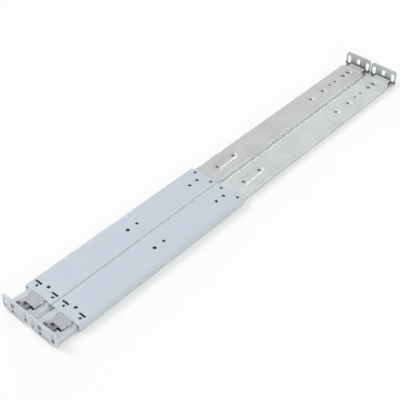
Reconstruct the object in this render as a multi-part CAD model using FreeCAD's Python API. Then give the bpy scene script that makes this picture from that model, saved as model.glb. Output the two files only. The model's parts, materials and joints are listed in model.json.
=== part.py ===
import FreeCAD, Part
import math
import os

Vec = FreeCAD.Vector

# A pair of sliding rails for a 1U rack server, in millimetres.
# X runs along the rails (front flange to rear flange), Y across, Z up. Both rails lie
# with the outer face up. One rail is built with x = 0 on the front flange's face, y = 0 on its
# centre line and z = 0 on the surface it lies on; the pair is then set out about the origin.
# Lengths along X follow one another from the front flange back, and heights follow from the
# sleeve's top down, each through a named clearance.

# ---- the pair -----------------------------------------------------------------------
rail_pitch = 43.5            # from one rail's centre line to the other's
depth_travel = 150.0         # how far the rear bracket slides out to suit the rack
middle_travel = 230.0        # middle member out of the outer race
server_travel = 230.0        # server member out of the middle member

# ---- clearances ---------------------------------------------------------------------
layer_gap = 0.2              # between sheets that slide over each other
side_gap = 0.25              # each side of the rear bracket in the sleeve
floor_gap = 0.3              # from the surface up to the pieces inside the sleeve
pin_gap = 0.05               # round a hinge pin
ball_gap = 0.1               # from a ball to its race, groove or window
part_gap = 0.3               # round loose parts that pass through or past each other
glide_gap = 0.1              # between a nylon part and the member it slides on

# ---- small forms --------------------------------------------------------------------
small_sides = 10             # flats round a small hole or fastener
slot_flats = 6               # flats round each end of a slot
tight_bend = 0.7             # a bend with less inside radius than this is sharp inside
over = 1.0                   # how far a cutting solid reaches past what it cuts

# ---- front flange -------------------------------------------------------------------
flange_plate = 2.0
flange_width = 42.0
flange_bottom = 2.0
flange_top = 23.3
flange_corner = 4.0
flange_foot = 7.0            # foot length behind the plate
flange_foot_sheet = 1.5
slot_pitch = 31.75           # the rack's outer hole pitch in one unit
slot_width = 5.4
slot_bottom = 5.0
slot_top = 18.0
hook_window_y = 4.0
hook_window_width = 6.4
hook_window_lift = 0.4       # above the bracket's web
hook_window_top = 18.0
hook_window_corner = 0.8
flange_rivet_offset = 3.6    # behind the plate
flange_rivet_insets = (5.0, 3.5)   # from each edge of the bracket, +Y first
flange_rivet_radius = 1.5
flange_rivet_head = 2.6
flange_rivet_head_height = 0.9

# ---- latch --------------------------------------------------------------------------
window_gap = 5.0             # from the flange's foot to the lever's window
window_front = 1.5           # from the window's front edge to the lever
window_rear = 2.7            # from the hinge line to the window's rear edge
latch_left = 7.2             # lever's +Y edge from the rail's centre line
latch_inset = 5.8            # from the bracket's -Y edge to the lever
latch_sheet = 1.0
latch_height = 3.3           # lever's top above the bracket's web
latch_reach = 10.8           # lever's front edge to the hinge line
latch_tail = 0.9             # lever behind its bore
pin_radius = 0.8
pin_lift = 0.1               # lever's top sheet over the pin
pin_head = 0.5               # head's radius over the pin's
pin_head_length = 0.7
ear_sheet = 1.0
ear_wall = 1.3               # ear round the pin
spring_sheet = 0.3
spring_bend = 1.5
spring_edges = (-6.5, -2.0)  # across the rail
spring_start = 1.5           # behind the flange's plate
spring_rise = 5.9            # in front of the lever's front edge
spring_landing = 3.5         # behind it
spring_end = 6.0
nose_half = 2.5
nose_lift = (0.6, 2.4)       # the nose's low and high face above the lever's top
nose_front = 0.4
nose_slope = 5.5             # length of the slope up to the nose
nose_tail = 2.0              # nose sheet under the lever's top
barb_length = 1.5
barb_height = 0.6

# ---- front bracket and sleeve -------------------------------------------------------
bracket_sheet = 1.2
bracket_bend = 1.2           # centre-line radius
bracket_overlap = 30.5       # front bracket inside the sleeve
sleeve_gap = 2.5             # from the lever's window to the sleeve
sleeve_width = 42.5
sleeve_height = 10.4
sleeve_length = 272.0
sleeve_sheet = 1.2
hem_gap = 0.6                # between the wall and its folded edge
hem_height = 5.0
edge_bend = 1.1              # centre-line radius of the sleeve's long edges
hook_slot_offset = 12.5      # behind the sleeve's front edge
hook_slot_inset = 4.9        # from the bracket's edge
hook_slot_width = 2.8
hook_slot_length = 10.0
hook_slot_corner = 0.9
hook_tab_drop = 0.9          # tab's top under the sleeve's face
hook_opening = 3.4           # window that the tab was bent out of, behind it
hook_opening_inset = 2.0     # from the bracket's edge
hook_opening_corner = 0.5
hollow_rivet_offset = 8.0
hollow_rivet_insets = (6.7, 3.4)
hollow_rivet_radius = 2.1
hollow_rivet_bore = 1.3
rivet_sink = 0.1
sleeve_hole_offsets = (136.4, 151.6)   # behind the sleeve's front edge
sleeve_hole_radii = (2.5, 2.0)
rear_edge_hole_offset = 4.0  # ahead of the sleeve's rear edge
rear_edge_hole_insets = (6.5, 3.5)
rear_edge_hole_radius = 2.2

# ---- rivets that carry the race -----------------------------------------------------
race_rivet_front = 15.0      # behind the sleeve's front edge
race_rivet_rear = (27.0, 13.5)   # ahead of the sleeve's rear edge
shoulder_radius = 3.2
shoulder_gap = 0.25
rivet_head_radius = 2.5
rivet_shank_radius = 1.8
race_rivet_bore = 1.5
race_rivet_bore_depth = 2.6

# ---- ball slide ---------------------------------------------------------------------
race_offset = 2.5            # behind the sleeve's front edge
race_length = 470.0
race_width = 29.0
race_sheet = 1.1
race_straight = 0.5          # flat part of the race's side between its two bends
race_lip = 0.7
race_spare = 34.0            # race left behind the middle member
bumper_length = 7.0
bumper_half = 7.0
bumper_corner = 1.5
ball_radius = 1.5
ball_flat = 0.93             # from the centre to each flat, in ball radii
balls_per_side = 4
cage_sheet = 0.5
cage_spare = 6.0             # race ahead of the cage at full travel
cage_length = 190.0
cage_margin = 10.0           # from the cage's end to its last ball
cage_arm = 2.9               # how far the cage's arms hang down
cage_window = (0.8, 1.0)     # inside and outside the balls' centre line
groove_depth = 0.2
groove_wall = 0.1            # middle member's face outside its groove
middle_start = 8.0
middle_wall = 1.5
middle_web = 1.0
middle_lip = 1.8             # width of each lip under the server member
middle_lip_sheet = 1.0
middle_lift = 0.5            # above the floor gap
middle_glide_start = 2.0
middle_glide_length = 18.0

# ---- server member ------------------------------------------------------------------
server_sheet = 1.0
server_bend = 0.8
server_overhang = 8.0        # behind the middle member
server_lift = 0.1            # above the floor gap
server_drop = 0.4            # under the middle member's web
server_rib = 1.9             # width of each side flange outside the wall
server_tab_sheet = 1.2
server_tab_corner = 2.0
server_tab_notch = (2.0, 3.0, 0.6)   # half width, depth and corner, clear of the lever's nose
keyhole_front = 62.0
keyhole_rear = 68.0          # ahead of the member's rear end
keyhole_head = 4.2
keyhole_neck = 2.2
keyhole_run = 9.0
server_hole_x = 110.0
server_hole_pitch = 200.0
server_hole_radius = 2.25
clip_length = 30.0
clip_front = 32.0            # clip behind the middle member's front edge at full travel
clip_end = 8.0               # ahead of the member's rear end
clip_inner = 1.0             # how far the clip's slot passes its inner face
release_pivot_x = 150.0
release_pivot_radius = 1.5
release_arm = 40.0
release_half = 2.2
release_thick = 1.2
release_boss = 3.6
release_tab = (30.0, 39.0)   # behind the pivot
release_swing = 3.0          # window beside the tab for its swing
release_window_end = 1.5
release_window_corner = 0.8
release_tab_drop = 0.2       # tab's end above the web's outer face
release_head = 2.6
release_head_gap = 0.1
release_head_height = 0.5
leaf_start = 8.0             # behind the pivot
leaf_gap = 0.1               # from the lever's side
leaf_length = 18.0
leaf_height = 1.8
leaf_foot = (4.0, 1.6)

# ---- rear bracket and flange --------------------------------------------------------
bracket_gap = 4.5            # between the front and rear brackets
foot_gap = 18.0              # from the race to the rear flange's foot
rear_foot_length = 133.0
tongue_gap = 4.5             # from the tongue to the flange's plate
tongue_length = 12.0
tongue_left = 9.0
tongue_inset = 3.0           # from the bracket's -Y edge
lip_overlap = 1.8            # bracket's lips under the race
guide_corner = 1.2
recess_offset = 41.0         # from the sleeve's rear edge to the recess's middle
recess_length = 45.0
recess_width = 12.0
recess_depth = 0.7
recess_hole_pitch = 31.0
recess_hole_radius = 2.4
screw_front = (10.5, 39.5)   # behind the foot's front edge
screw_rear = (40.5, 28.5)    # ahead of the flange's face
screw_radius = 2.0
screw_head = 4.2             # countersink's radius at the bracket's face
screw_sink = 0.5             # head's face under the bracket's
screw_point = 0.6            # screw past the foot's sheet
rear_hole_offsets = (75.5, 62.5)   # ahead of the flange's face
rear_hole_radius = 2.0
rear_foot_sheet = 1.6
rear_foot_step = 10.0        # foot's low stretch ahead of the plate
rear_foot_bottom = 2.0
rear_foot_low_top = 4.6

# ---- levels that follow -------------------------------------------------------------
sleeve_under = sleeve_height - sleeve_sheet
bracket_top = sleeve_under - layer_gap
bracket_under = bracket_top - bracket_sheet
race_top = bracket_under - layer_gap
race_under = race_top - race_sheet
race_radius = ball_radius + ball_gap
ball_z = race_under - race_straight - race_radius
cage_top = race_under - layer_gap
middle_top = cage_top - cage_sheet - layer_gap
middle_under = middle_top - middle_web
middle_bottom = floor_gap + middle_lift
lip_top = middle_bottom + middle_lip_sheet
server_top = middle_under - server_drop
server_bottom = floor_gap + server_lift
server_web = server_bottom + server_sheet
server_tab_top = bracket_under - 2 * layer_gap
release_low = server_web + part_gap
release_top = release_low + release_thick
latch_top = bracket_top + latch_height
foot_top = bracket_top + flange_foot_sheet
pivot_z = latch_top - latch_sheet - pin_radius - pin_lift
nose_low, nose_high = [latch_top + lift for lift in nose_lift]

# ---- widths that follow -------------------------------------------------------------
hem_radius = (sleeve_sheet + hem_gap) / 2
bracket_half = sleeve_width / 2 - 2 * sleeve_sheet - hem_gap - side_gap
race_half = race_width / 2
ball_y = race_half - race_sheet - race_radius
middle_half = ball_y - race_radius + groove_depth + groove_wall
middle_inner = middle_half - middle_wall
lip_edge = middle_inner - middle_lip
server_half = middle_inner - part_gap
server_wall = server_half - server_rib
latch_right = bracket_half - latch_inset
hook_slot_y = bracket_half - hook_slot_inset
tongue_right = bracket_half - tongue_inset

# ---- places along the rail that follow ----------------------------------------------
flange_rivet_x = flange_plate + flange_rivet_offset
window_start = flange_plate + flange_foot + window_gap
latch_front = window_start + window_front
pivot_x = latch_front + latch_reach
window_end = pivot_x + window_rear
sleeve_start = window_end + sleeve_gap
sleeve_end = sleeve_start + sleeve_length
front_bracket_end = sleeve_start + bracket_overlap
rear_bracket_start = front_bracket_end + bracket_gap
hook_slot_x = sleeve_start + hook_slot_offset
hollow_rivet_x = sleeve_start + hollow_rivet_offset
race_rivet_xs = [sleeve_start + race_rivet_front] + [sleeve_end - d for d in race_rivet_rear]
rear_edge_hole_x = sleeve_end - rear_edge_hole_offset
race_start = sleeve_start + race_offset
race_end = race_start + race_length
middle_end = race_end - race_spare
cage_start = race_start + middle_travel / 2 + cage_spare
server_length = middle_end + server_overhang
recess_x = sleeve_end + recess_offset
rear_foot_start = race_end + foot_gap
rail_length = rear_foot_start + rear_foot_length
rear_plate = rail_length - flange_plate
rear_foot_web_end = rear_plate - rear_foot_step
tongue_end = rear_plate - tongue_gap
wall_end = tongue_end - tongue_length
screw_xs = [rear_foot_start + d for d in screw_front] + [rail_length - d for d in screw_rear]
rear_hole_xs = [rail_length - d for d in rear_hole_offsets]


def both_edges(insets):
    """Places across the rail, set in from the bracket's +Y and -Y edges."""
    return (bracket_half - insets[0], insets[1] - bracket_half)


hollow_rivet_ys = both_edges(hollow_rivet_insets)
flange_rivet_ys = both_edges(flange_rivet_insets)
rear_edge_hole_ys = both_edges(rear_edge_hole_insets)


# ---- small helpers ------------------------------------------------------------------
def block(x0, x1, y0, y1, z0, z1):
    return Part.makeBox(x1 - x0, y1 - y0, z1 - z0, Vec(x0, y0, z0))


def post(x, y, radius, z0, z1):
    return Part.makeCylinder(radius, z1 - z0, Vec(x, y, z0))


def prism(points, depth):
    """A straight-sided solid on a closed outline."""
    return Part.Face(Part.makePolygon(points + [points[0]])).extrude(depth)


def flats(radius, sides):
    """Corners of a regular outline round the origin."""
    angles = [2 * math.pi * (i + 0.5) / sides for i in range(sides)]
    return [(radius * math.cos(a), radius * math.sin(a)) for a in angles]


def peg(x, y, radius, z0, z1):
    """A small upright hole or fastener with flat sides."""
    ring = [Vec(x + dx, y + dy, z0) for dx, dy in flats(radius, small_sides)]
    return prism(ring, Vec(0, 0, z1 - z0))


def sink(x, y, low_radius, high_radius, z0, z1):
    """A countersink or countersunk head with flat sides."""
    low = [Vec(x + dx, y + dy, z0) for dx, dy in flats(low_radius, small_sides)]
    high = [Vec(x + dx, y + dy, z1) for dx, dy in flats(high_radius, small_sides)]
    rings = [low, high]
    for i in range(small_sides):
        j = (i + 1) % small_sides
        rings.append([low[i], low[j], high[j], high[i]])
    faces = [Part.Face(Part.makePolygon(ring + [ring[0]])) for ring in rings]
    return Part.makeSolid(Part.makeShell(faces))


def chamfered(a0, a1, b0, b1, corner):
    """Corners of a rectangle whose own corners are cut off."""
    return [(a0 + corner, b0), (a1 - corner, b0), (a1, b0 + corner), (a1, b1 - corner),
            (a1 - corner, b1), (a0 + corner, b1), (a0, b1 - corner), (a0, b0 + corner)]


def window(x0, x1, y0, y1, z0, z1, corner):
    """An upright opening with chamfered corners."""
    ring = [Vec(x, y, z0) for x, y in chamfered(x0, x1, y0, y1, corner)]
    return prism(ring, Vec(0, 0, z1 - z0))


def facing_window(y0, y1, z0, z1, x0, x1, corner):
    """The same through a plate that faces along X."""
    ring = [Vec(x0, y, z) for y, z in chamfered(y0, y1, z0, z1, corner)]
    return prism(ring, Vec(x1 - x0, 0, 0))


def slot_ring(length, width):
    """Outline of a slot round the origin, long along its first axis, with flat-sided ends."""
    r = width / 2
    angles = [math.pi * i / slot_flats - math.pi / 2 for i in range(slot_flats + 1)]
    ahead = [(length / 2 - r + r * math.cos(a), r * math.sin(a)) for a in angles]
    return ahead + [(-a, -b) for a, b in ahead]


def slot_along(x, y, length, width, z0, z1):
    ring = [Vec(x + a, y + b, z0) for a, b in slot_ring(length, width)]
    return prism(ring, Vec(0, 0, z1 - z0))


def upright_slot(y, width, z0, z1, x0, x1):
    """A slot that is long along Z, through a plate that faces along X."""
    middle = (z0 + z1) / 2
    ring = [Vec(x0, y + b, middle + a) for a, b in slot_ring(z1 - z0, width)]
    return prism(ring, Vec(x1 - x0, 0, 0))


def fused(shapes):
    return shapes[0].fuse(shapes[1:]).removeSplitter()


def unit(a):
    size = math.hypot(a[0], a[1])
    return (a[0] / size, a[1] / size)


def sheet_section(corners, sheet, radii):
    """Face in the YZ plane: a bent sheet whose centre line turns at each inner corner.

    A bend with radius 0 is sharp on both sides.
    """
    half = sheet / 2
    start_dir = unit((corners[1][0] - corners[0][0], corners[1][1] - corners[0][1]))
    end_dir = unit((corners[-1][0] - corners[-2][0], corners[-1][1] - corners[-2][1]))

    def offset(p, direction, side):
        return Vec(0, p[0] - direction[1] * half * side, p[1] + direction[0] * half * side)

    # each side is a list of (point, mid-point of the arc that leads to it or None)
    sides = {side: [(offset(corners[0], start_dir, side), None)] for side in (1, -1)}
    for before, corner, after, radius in zip(corners, corners[1:], corners[2:], radii):
        back = unit((before[0] - corner[0], before[1] - corner[1]))
        ahead = unit((after[0] - corner[0], after[1] - corner[1]))
        turn = math.pi - math.acos(back[0] * ahead[0] + back[1] * ahead[1])
        inward = unit((back[0] + ahead[0], back[1] + ahead[1]))
        inside = 1 if back[1] * ahead[0] - back[0] * ahead[1] > 0 else -1
        depth = half / math.cos(turn / 2)
        sharp = {inside: (corner[0] + inward[0] * depth, corner[1] + inward[1] * depth),
                 -inside: (corner[0] - inward[0] * depth, corner[1] - inward[1] * depth)}
        reach = radius * math.tan(turn / 2)
        first = (corner[0] + back[0] * reach, corner[1] + back[1] * reach)
        last = (corner[0] + ahead[0] * reach, corner[1] + ahead[1] * reach)
        rise = radius / math.cos(turn / 2) - radius
        crest = (corner[0] + inward[0] * rise, corner[1] + inward[1] * rise)
        along = unit((ahead[0] - back[0], ahead[1] - back[1]))
        for side, points in sides.items():
            if radius == 0 or (side == inside and radius - half < tight_bend):
                points.append((Vec(0, *sharp[side]), None))
            else:
                points.append((offset(first, (-back[0], -back[1]), side), None))
                points.append((offset(last, ahead, side), offset(crest, along, side)))
    edges = []
    for side, points in sides.items():
        points.append((offset(corners[-1], end_dir, side), None))
        for (a, _), (b, through) in zip(points, points[1:]):
            if a.distanceToPoint(b) > 1e-6:
                curve = Part.Arc(a, through, b) if through else Part.LineSegment(a, b)
                edges.append(curve.toShape())
    for i in (0, -1):
        edges.append(Part.LineSegment(sides[1][i][0], sides[-1][i][0]).toShape())
    return Part.Face(Part.Wire(Part.__sortEdges__(edges)))


def mirrored(half_corners):
    """A symmetric centre line from the half on the +Y side, listed from the edge inwards."""
    return half_corners + [(-y, z) for y, z in reversed(half_corners)]


def symmetric_profile(half_points):
    """Face in the YZ plane from the +Y half of its outline, top to bottom."""
    points = half_points + [(-y, z) for y, z in reversed(half_points)]
    vectors = [Vec(0, y, z) for y, z in points]
    return Part.Face(Part.makePolygon(vectors + [vectors[0]]))


def swept(face, x0, x1):
    shape = face.extrude(Vec(x1 - x0, 0, 0))
    shape.translate(Vec(x0, 0, 0))
    return shape


def side_bent(corners, sheet, radii, y0, y1):
    """A strip of sheet bent in the XZ plane, from y0 to y1."""
    shape = sheet_section(corners, sheet, radii).extrude(Vec(y1 - y0, 0, 0))
    # the section's Y becomes X, and its sweep direction becomes -Y
    shape.rotate(Vec(0, 0, 0), Vec(0, 0, 1), -90)
    shape.translate(Vec(0, y1, 0))
    return shape


def facing_corner(shape, size, above):
    """Rounds the two upper corners of a plate that faces along X."""
    corners = [e for e in shape.Edges
               if e.BoundBox.XLength > e.BoundBox.YLength + e.BoundBox.ZLength and e.BoundBox.ZMin > above]
    return shape.makeFillet(size, corners)


# ---- front bracket, sleeve and flange -----------------------------------------------
def hook_slots(z0, z1):
    """Slots in the sleeve that the bracket's hooks stand in."""
    x0, x1 = hook_slot_x - hook_slot_width / 2, hook_slot_x + hook_slot_width / 2
    slots = []
    for y in (hook_slot_y, -hook_slot_y):
        y0, y1 = y - hook_slot_length / 2, y + hook_slot_length / 2
        slots.append(window(x0, x1, y0, y1, z0, z1, hook_slot_corner))
    return slots


def hook_tabs():
    x0 = hook_slot_x - hook_slot_width / 2
    reach = hook_slot_length / 2 - hook_slot_corner
    top = sleeve_height - hook_tab_drop
    return [block(x0, x0 + bracket_sheet, y - reach, y + reach, bracket_under, top)
            for y in (hook_slot_y, -hook_slot_y)]


def hook_openings(z0, z1):
    """Windows in the bracket's web that the hooks were bent out of."""
    x0 = hook_slot_x - hook_slot_width / 2 + bracket_sheet
    inner = hook_slot_y - hook_slot_length / 2 + hook_slot_corner
    outer = bracket_half - hook_opening_inset
    return [window(x0, x0 + hook_opening, y0, y1, z0, z1, hook_opening_corner)
            for y0, y1 in ((inner, outer), (-outer, -inner))]


def front_sleeve():
    wall = sleeve_width / 2 - sleeve_sheet / 2
    hem = wall - 2 * hem_radius
    floor = sleeve_sheet / 2
    top = sleeve_height - sleeve_sheet / 2
    line = mirrored([(hem, hem_height), (hem, floor), (wall, floor), (wall, top)])
    radii = [hem_radius, hem_radius, edge_bend, edge_bend, hem_radius, hem_radius]
    channel = swept(sheet_section(line, sleeve_sheet, radii), sleeve_start, sleeve_end)
    low, high = sleeve_under - over, sleeve_height + over
    cuts = [peg(x, 0, rivet_head_radius, low, high) for x in race_rivet_xs]
    cuts += [peg(hollow_rivet_x, y, hollow_rivet_radius, low, high) for y in hollow_rivet_ys]
    cuts += hook_slots(low, high)
    for offset, radius in zip(sleeve_hole_offsets, sleeve_hole_radii):
        cuts.append(peg(sleeve_start + offset, 0, radius, low, high))
    cuts += [peg(rear_edge_hole_x, y, rear_edge_hole_radius, low, high) for y in rear_edge_hole_ys]
    return channel.cut(cuts)


def bracket_channel(x0, x1, with_lips):
    wall = bracket_half - bracket_sheet / 2
    top = bracket_top - bracket_sheet / 2
    floor = floor_gap + bracket_sheet / 2
    if with_lips:
        line = mirrored([(race_half - lip_overlap, floor), (wall, floor), (wall, top)])
    else:
        line = mirrored([(wall, floor_gap), (wall, top)])
    radii = [bracket_bend] * (len(line) - 2)
    return swept(sheet_section(line, bracket_sheet, radii), x0, x1)


def latch_ear(y0):
    """An upright ear beside the lever, with its top corners cropped round the pin."""
    reach = pin_radius + ear_wall
    crop = reach / 2
    top = pivot_z + reach
    ring = [(-reach, bracket_under), (reach, bracket_under), (reach, top - crop), (reach - crop, top),
            (crop - reach, top), (-reach, top - crop)]
    return prism([Vec(pivot_x + x, y0, z) for x, z in ring], Vec(0, ear_sheet, 0))


def pin_bore():
    """Round bore through the lever, with running clearance on the pin."""
    reach = latch_right + over
    return Part.makeCylinder(pin_radius + pin_gap, 2 * reach, Vec(pivot_x, -reach, pivot_z), Vec(0, 1, 0))


def staked_end(radius, y0, y1):
    """Flat-sided end of the pin where it is staked in an ear."""
    ring = [Vec(pivot_x + dx, y0, pivot_z + dz) for dx, dz in flats(radius, small_sides)]
    return prism(ring, Vec(0, y1 - y0, 0))


def front_bracket():
    channel = bracket_channel(flange_plate, front_bracket_end, False)
    low, high = bracket_under - over, bracket_top + over
    left, right = latch_left + part_gap, -latch_right - part_gap
    channel = channel.cut([block(window_start, window_end, right, left, low, high)]
                          + hook_openings(low, high))
    body = fused([channel, latch_ear(left), latch_ear(right - ear_sheet)] + hook_tabs())
    cuts = [peg(race_rivet_xs[0], 0, shoulder_radius, low, high),
            staked_end(pin_radius, right - 2 * ear_sheet, left + 2 * ear_sheet)]
    cuts += [peg(hollow_rivet_x, y, hollow_rivet_radius, low, high) for y in hollow_rivet_ys]
    cuts += [peg(flange_rivet_x, y, flange_rivet_radius, low, high) for y in flange_rivet_ys]
    return body.cut(cuts)


def flange_face(x0):
    """The upright plate with its rounded corners, before its slots are cut."""
    half = flange_width / 2
    plate = block(x0, x0 + flange_plate, -half, half, flange_bottom, flange_top)
    return facing_corner(plate, flange_corner, flange_top - flange_corner)


def flange_slots(x0):
    """The rack's two slots, right through the plate at x0."""
    x1 = x0 + flange_plate + over
    return [upright_slot(y, slot_width, slot_bottom, slot_top, x0 - over, x1)
            for y in (slot_pitch / 2, -slot_pitch / 2)]


def hook_window(x0, y, width):
    low = bracket_top + hook_window_lift
    return facing_window(y - width / 2, y + width / 2, low, hook_window_top,
                         x0 - over, x0 + flange_plate + over, hook_window_corner)


def front_flange():
    foot_half = bracket_half - bracket_bend
    foot = block(0, flange_plate + flange_foot, -foot_half, foot_half, bracket_top, foot_top)
    body = flange_face(0).fuse(foot).removeSplitter()
    mouth = middle_half + part_gap + groove_wall
    cuts = flange_slots(0)
    cuts.append(hook_window(0, hook_window_y, hook_window_width))
    cuts.append(block(-over, flange_plate + over, -mouth, mouth, 0, server_tab_top + part_gap))
    cuts += [peg(flange_rivet_x, y, flange_rivet_radius, 0, flange_top) for y in flange_rivet_ys]
    return body.cut(cuts)


def flange_rivets():
    rivets = []
    for y in flange_rivet_ys:
        shank = peg(flange_rivet_x, y, flange_rivet_radius, bracket_under, foot_top)
        head = peg(flange_rivet_x, y, flange_rivet_head, foot_top, foot_top + flange_rivet_head_height)
        rivets.append(fused([shank, head]))
    return Part.makeCompound(rivets)


def sleeve_rivets():
    rivets = []
    for y in hollow_rivet_ys:
        tube = peg(hollow_rivet_x, y, hollow_rivet_radius, bracket_under, sleeve_height - rivet_sink)
        bore = peg(hollow_rivet_x, y, hollow_rivet_bore, bracket_under - over, sleeve_height)
        rivets.append(tube.cut(bore))
    return Part.makeCompound(rivets)


def race_rivets():
    """Hollow shouldered rivets: the shoulder keeps the race clear of the sliding rear bracket."""
    rivets = []
    for x in race_rivet_xs:
        body = fused([peg(x, 0, rivet_head_radius, sleeve_under, sleeve_height - rivet_sink),
                      peg(x, 0, shoulder_radius, race_top, sleeve_under),
                      peg(x, 0, rivet_shank_radius, race_under, race_top)])
        bore = peg(x, 0, race_rivet_bore, sleeve_height - race_rivet_bore_depth, sleeve_height)
        rivets.append(body.cut(bore))
    return Part.makeCompound(rivets)


# ---- latch --------------------------------------------------------------------------
def latch_lever():
    skirt = bracket_top + part_gap
    rear = pivot_x + pin_radius + latch_tail
    shell = block(latch_front, rear, -latch_right, latch_left, skirt, latch_top)
    hollow = block(latch_front - over, rear + over, -latch_right + latch_sheet, latch_left - latch_sheet,
                   skirt - over, latch_top - latch_sheet)
    nose_middle = (nose_low + nose_high) / 2
    sheet_middle = latch_top - latch_sheet / 2
    y0, y1 = hook_window_y - nose_half, hook_window_y + nose_half
    nose = side_bent([(nose_front, nose_middle), (latch_front - nose_slope, nose_middle),
                      (latch_front, sheet_middle), (latch_front + nose_tail, sheet_middle)],
                     latch_sheet, [0, 0], y0, y1)
    barb = block(nose_front, nose_front + barb_length, y0, y1, nose_low, nose_high + barb_height)
    body = fused([shell.cut(hollow), nose, barb])
    return body.cut(pin_bore())


def latch_pin():
    left = latch_left + part_gap
    right = -latch_right - part_gap
    shaft = Part.makeCylinder(pin_radius, left - right, Vec(pivot_x, right, pivot_z), Vec(0, 1, 0))
    ends = [staked_end(pin_radius, left, left + ear_sheet),
            staked_end(pin_radius, right - ear_sheet, right),
            staked_end(pin_radius + pin_head, right - ear_sheet - pin_head_length, right - ear_sheet)]
    return fused([shaft] + ends)


def latch_spring():
    foot = foot_top + spring_sheet / 2
    top = latch_top - latch_sheet - pin_lift - spring_sheet / 2
    line = [(flange_plate + spring_start, foot), (latch_front - spring_rise, foot),
            (latch_front + spring_landing, top), (latch_front + spring_end, top)]
    return side_bent(line, spring_sheet, [spring_bend] * 2, *spring_edges)


# ---- rear bracket -------------------------------------------------------------------
def guide_slot():
    """Long slot that the race rivets' shoulders run in; its ends stop the travel."""
    clear = shoulder_radius + shoulder_gap
    x0 = race_rivet_xs[1] - clear - depth_travel
    x1 = race_rivet_xs[2] + clear
    return window(x0, x1, -clear, clear, bracket_under - over, bracket_top + over, guide_corner)


def screw_cone(x, radius, drop):
    """From the bracket's face, less a drop, down to the screw's shank."""
    depth = radius - screw_radius
    return sink(x, 0, screw_radius, radius - drop, bracket_top - depth, bracket_top - drop)


def rear_bracket():
    channel = bracket_channel(rear_bracket_start, tongue_end, True)
    low, high = bracket_under - over, bracket_top + over
    half = bracket_half + over
    cuts = [guide_slot()]
    cuts.append(block(wall_end, tongue_end + over, tongue_left, half, -over, high))
    cuts.append(block(wall_end, tongue_end + over, -half, -tongue_right, -over, high))
    cuts.append(block(wall_end, tongue_end + over, -half, half, -over, bracket_under))
    cuts.append(slot_along(recess_x, 0, recess_length, recess_width, bracket_top - recess_depth, high))
    for x in (recess_x - recess_hole_pitch / 2, recess_x + recess_hole_pitch / 2):
        cuts.append(peg(x, 0, recess_hole_radius, low, high))
    cuts += [screw_cone(x, screw_head, 0) for x in screw_xs]
    cuts += [peg(x, 0, rear_hole_radius, low, high) for x in rear_hole_xs]
    return channel.cut(cuts)


def rear_flange():
    outer = bracket_half - bracket_sheet - part_gap
    wall = outer - rear_foot_sheet / 2
    top = bracket_under - rear_foot_sheet / 2
    line = mirrored([(wall, rear_foot_bottom), (wall, top)])
    foot = swept(sheet_section(line, rear_foot_sheet, [rear_foot_sheet] * 2), rear_foot_start, rear_plate)
    step = block(rear_foot_web_end, rear_plate, -bracket_half, bracket_half, rear_foot_low_top, bracket_top)
    body = flange_face(rear_plate).fuse(foot.cut(step)).removeSplitter()
    cuts = flange_slots(rear_plate)
    cuts.append(hook_window(rear_plate, 0, slot_width))
    cuts += [screw_cone(x, screw_head, 0) for x in screw_xs]
    cuts += [peg(x, 0, screw_radius, 0, bracket_top) for x in screw_xs]
    cuts += [peg(x, 0, rear_hole_radius, 0, bracket_top) for x in rear_hole_xs]
    return body.cut(cuts)


def rear_screws():
    """Countersunk screws whose heads lie under the bracket's face."""
    screws = []
    for x in screw_xs:
        head = screw_cone(x, screw_head, screw_sink)
        shank = peg(x, 0, screw_radius, bracket_under - rear_foot_sheet - screw_point, bracket_under)
        screws.append(fused([head, shank]))
    return Part.makeCompound(screws)


# ---- ball slide ---------------------------------------------------------------------
def outer_race():
    wall = race_half - race_sheet / 2
    top = race_top - race_sheet / 2
    bend = race_radius + race_sheet / 2
    foot = top - race_straight - 2 * bend
    line = mirrored([(wall - bend - race_lip, foot), (wall, foot), (wall, top)])
    race = swept(sheet_section(line, race_sheet, [bend] * 4), race_start, race_end)
    low, high = race_under - over, race_top + over
    return race.cut([peg(x, 0, rivet_shank_radius, low, high) for x in race_rivet_xs])


def race_bumper():
    x0 = middle_end + part_gap
    return window(x0, x0 + bumper_length, -bumper_half, bumper_half, middle_under, race_under, bumper_corner)


def ball_xs():
    pitch = (cage_length - 2 * cage_margin) / (balls_per_side - 1)
    return [cage_start + cage_margin + pitch * i for i in range(balls_per_side)]


def across(side, inner, outer):
    """The two Y limits of a piece on the +Y or -Y side, in rising order."""
    return sorted((side * inner, side * outer))


def ball_cage():
    line = mirrored([(ball_y, cage_top - cage_arm), (ball_y, cage_top - cage_sheet / 2)])
    cage = swept(sheet_section(line, cage_sheet, [0, 0]), cage_start, cage_start + cage_length)
    clear = ball_radius + ball_gap
    cuts = []
    for x in ball_xs():
        for side in (1, -1):
            y0, y1 = across(side, ball_y - cage_window[0], ball_y + cage_window[1])
            cuts.append(block(x - clear, x + clear, y0, y1, ball_z - clear, race_under))
    return cage.cut(cuts)


def ball():
    """A ball drawn with flats: a cube whose edges and corners are planed off inside its radius."""
    r = ball_flat * ball_radius
    cube = Part.makeBox(2 * r, 2 * r, 2 * r, Vec(-r, -r, -r))
    shape = cube
    for axis in (Vec(1, 0, 0), Vec(0, 1, 0), Vec(0, 0, 1)):
        turned = cube.copy()
        turned.rotate(Vec(0, 0, 0), axis, 45)
        shape = shape.common(turned)
    return shape


def balls():
    shape = ball()
    copies = []
    for x in ball_xs():
        for side in (1, -1):
            one = shape.copy()
            one.translate(Vec(x, side * ball_y, ball_z))
            copies.append(one)
    return Part.makeCompound(copies)


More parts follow.
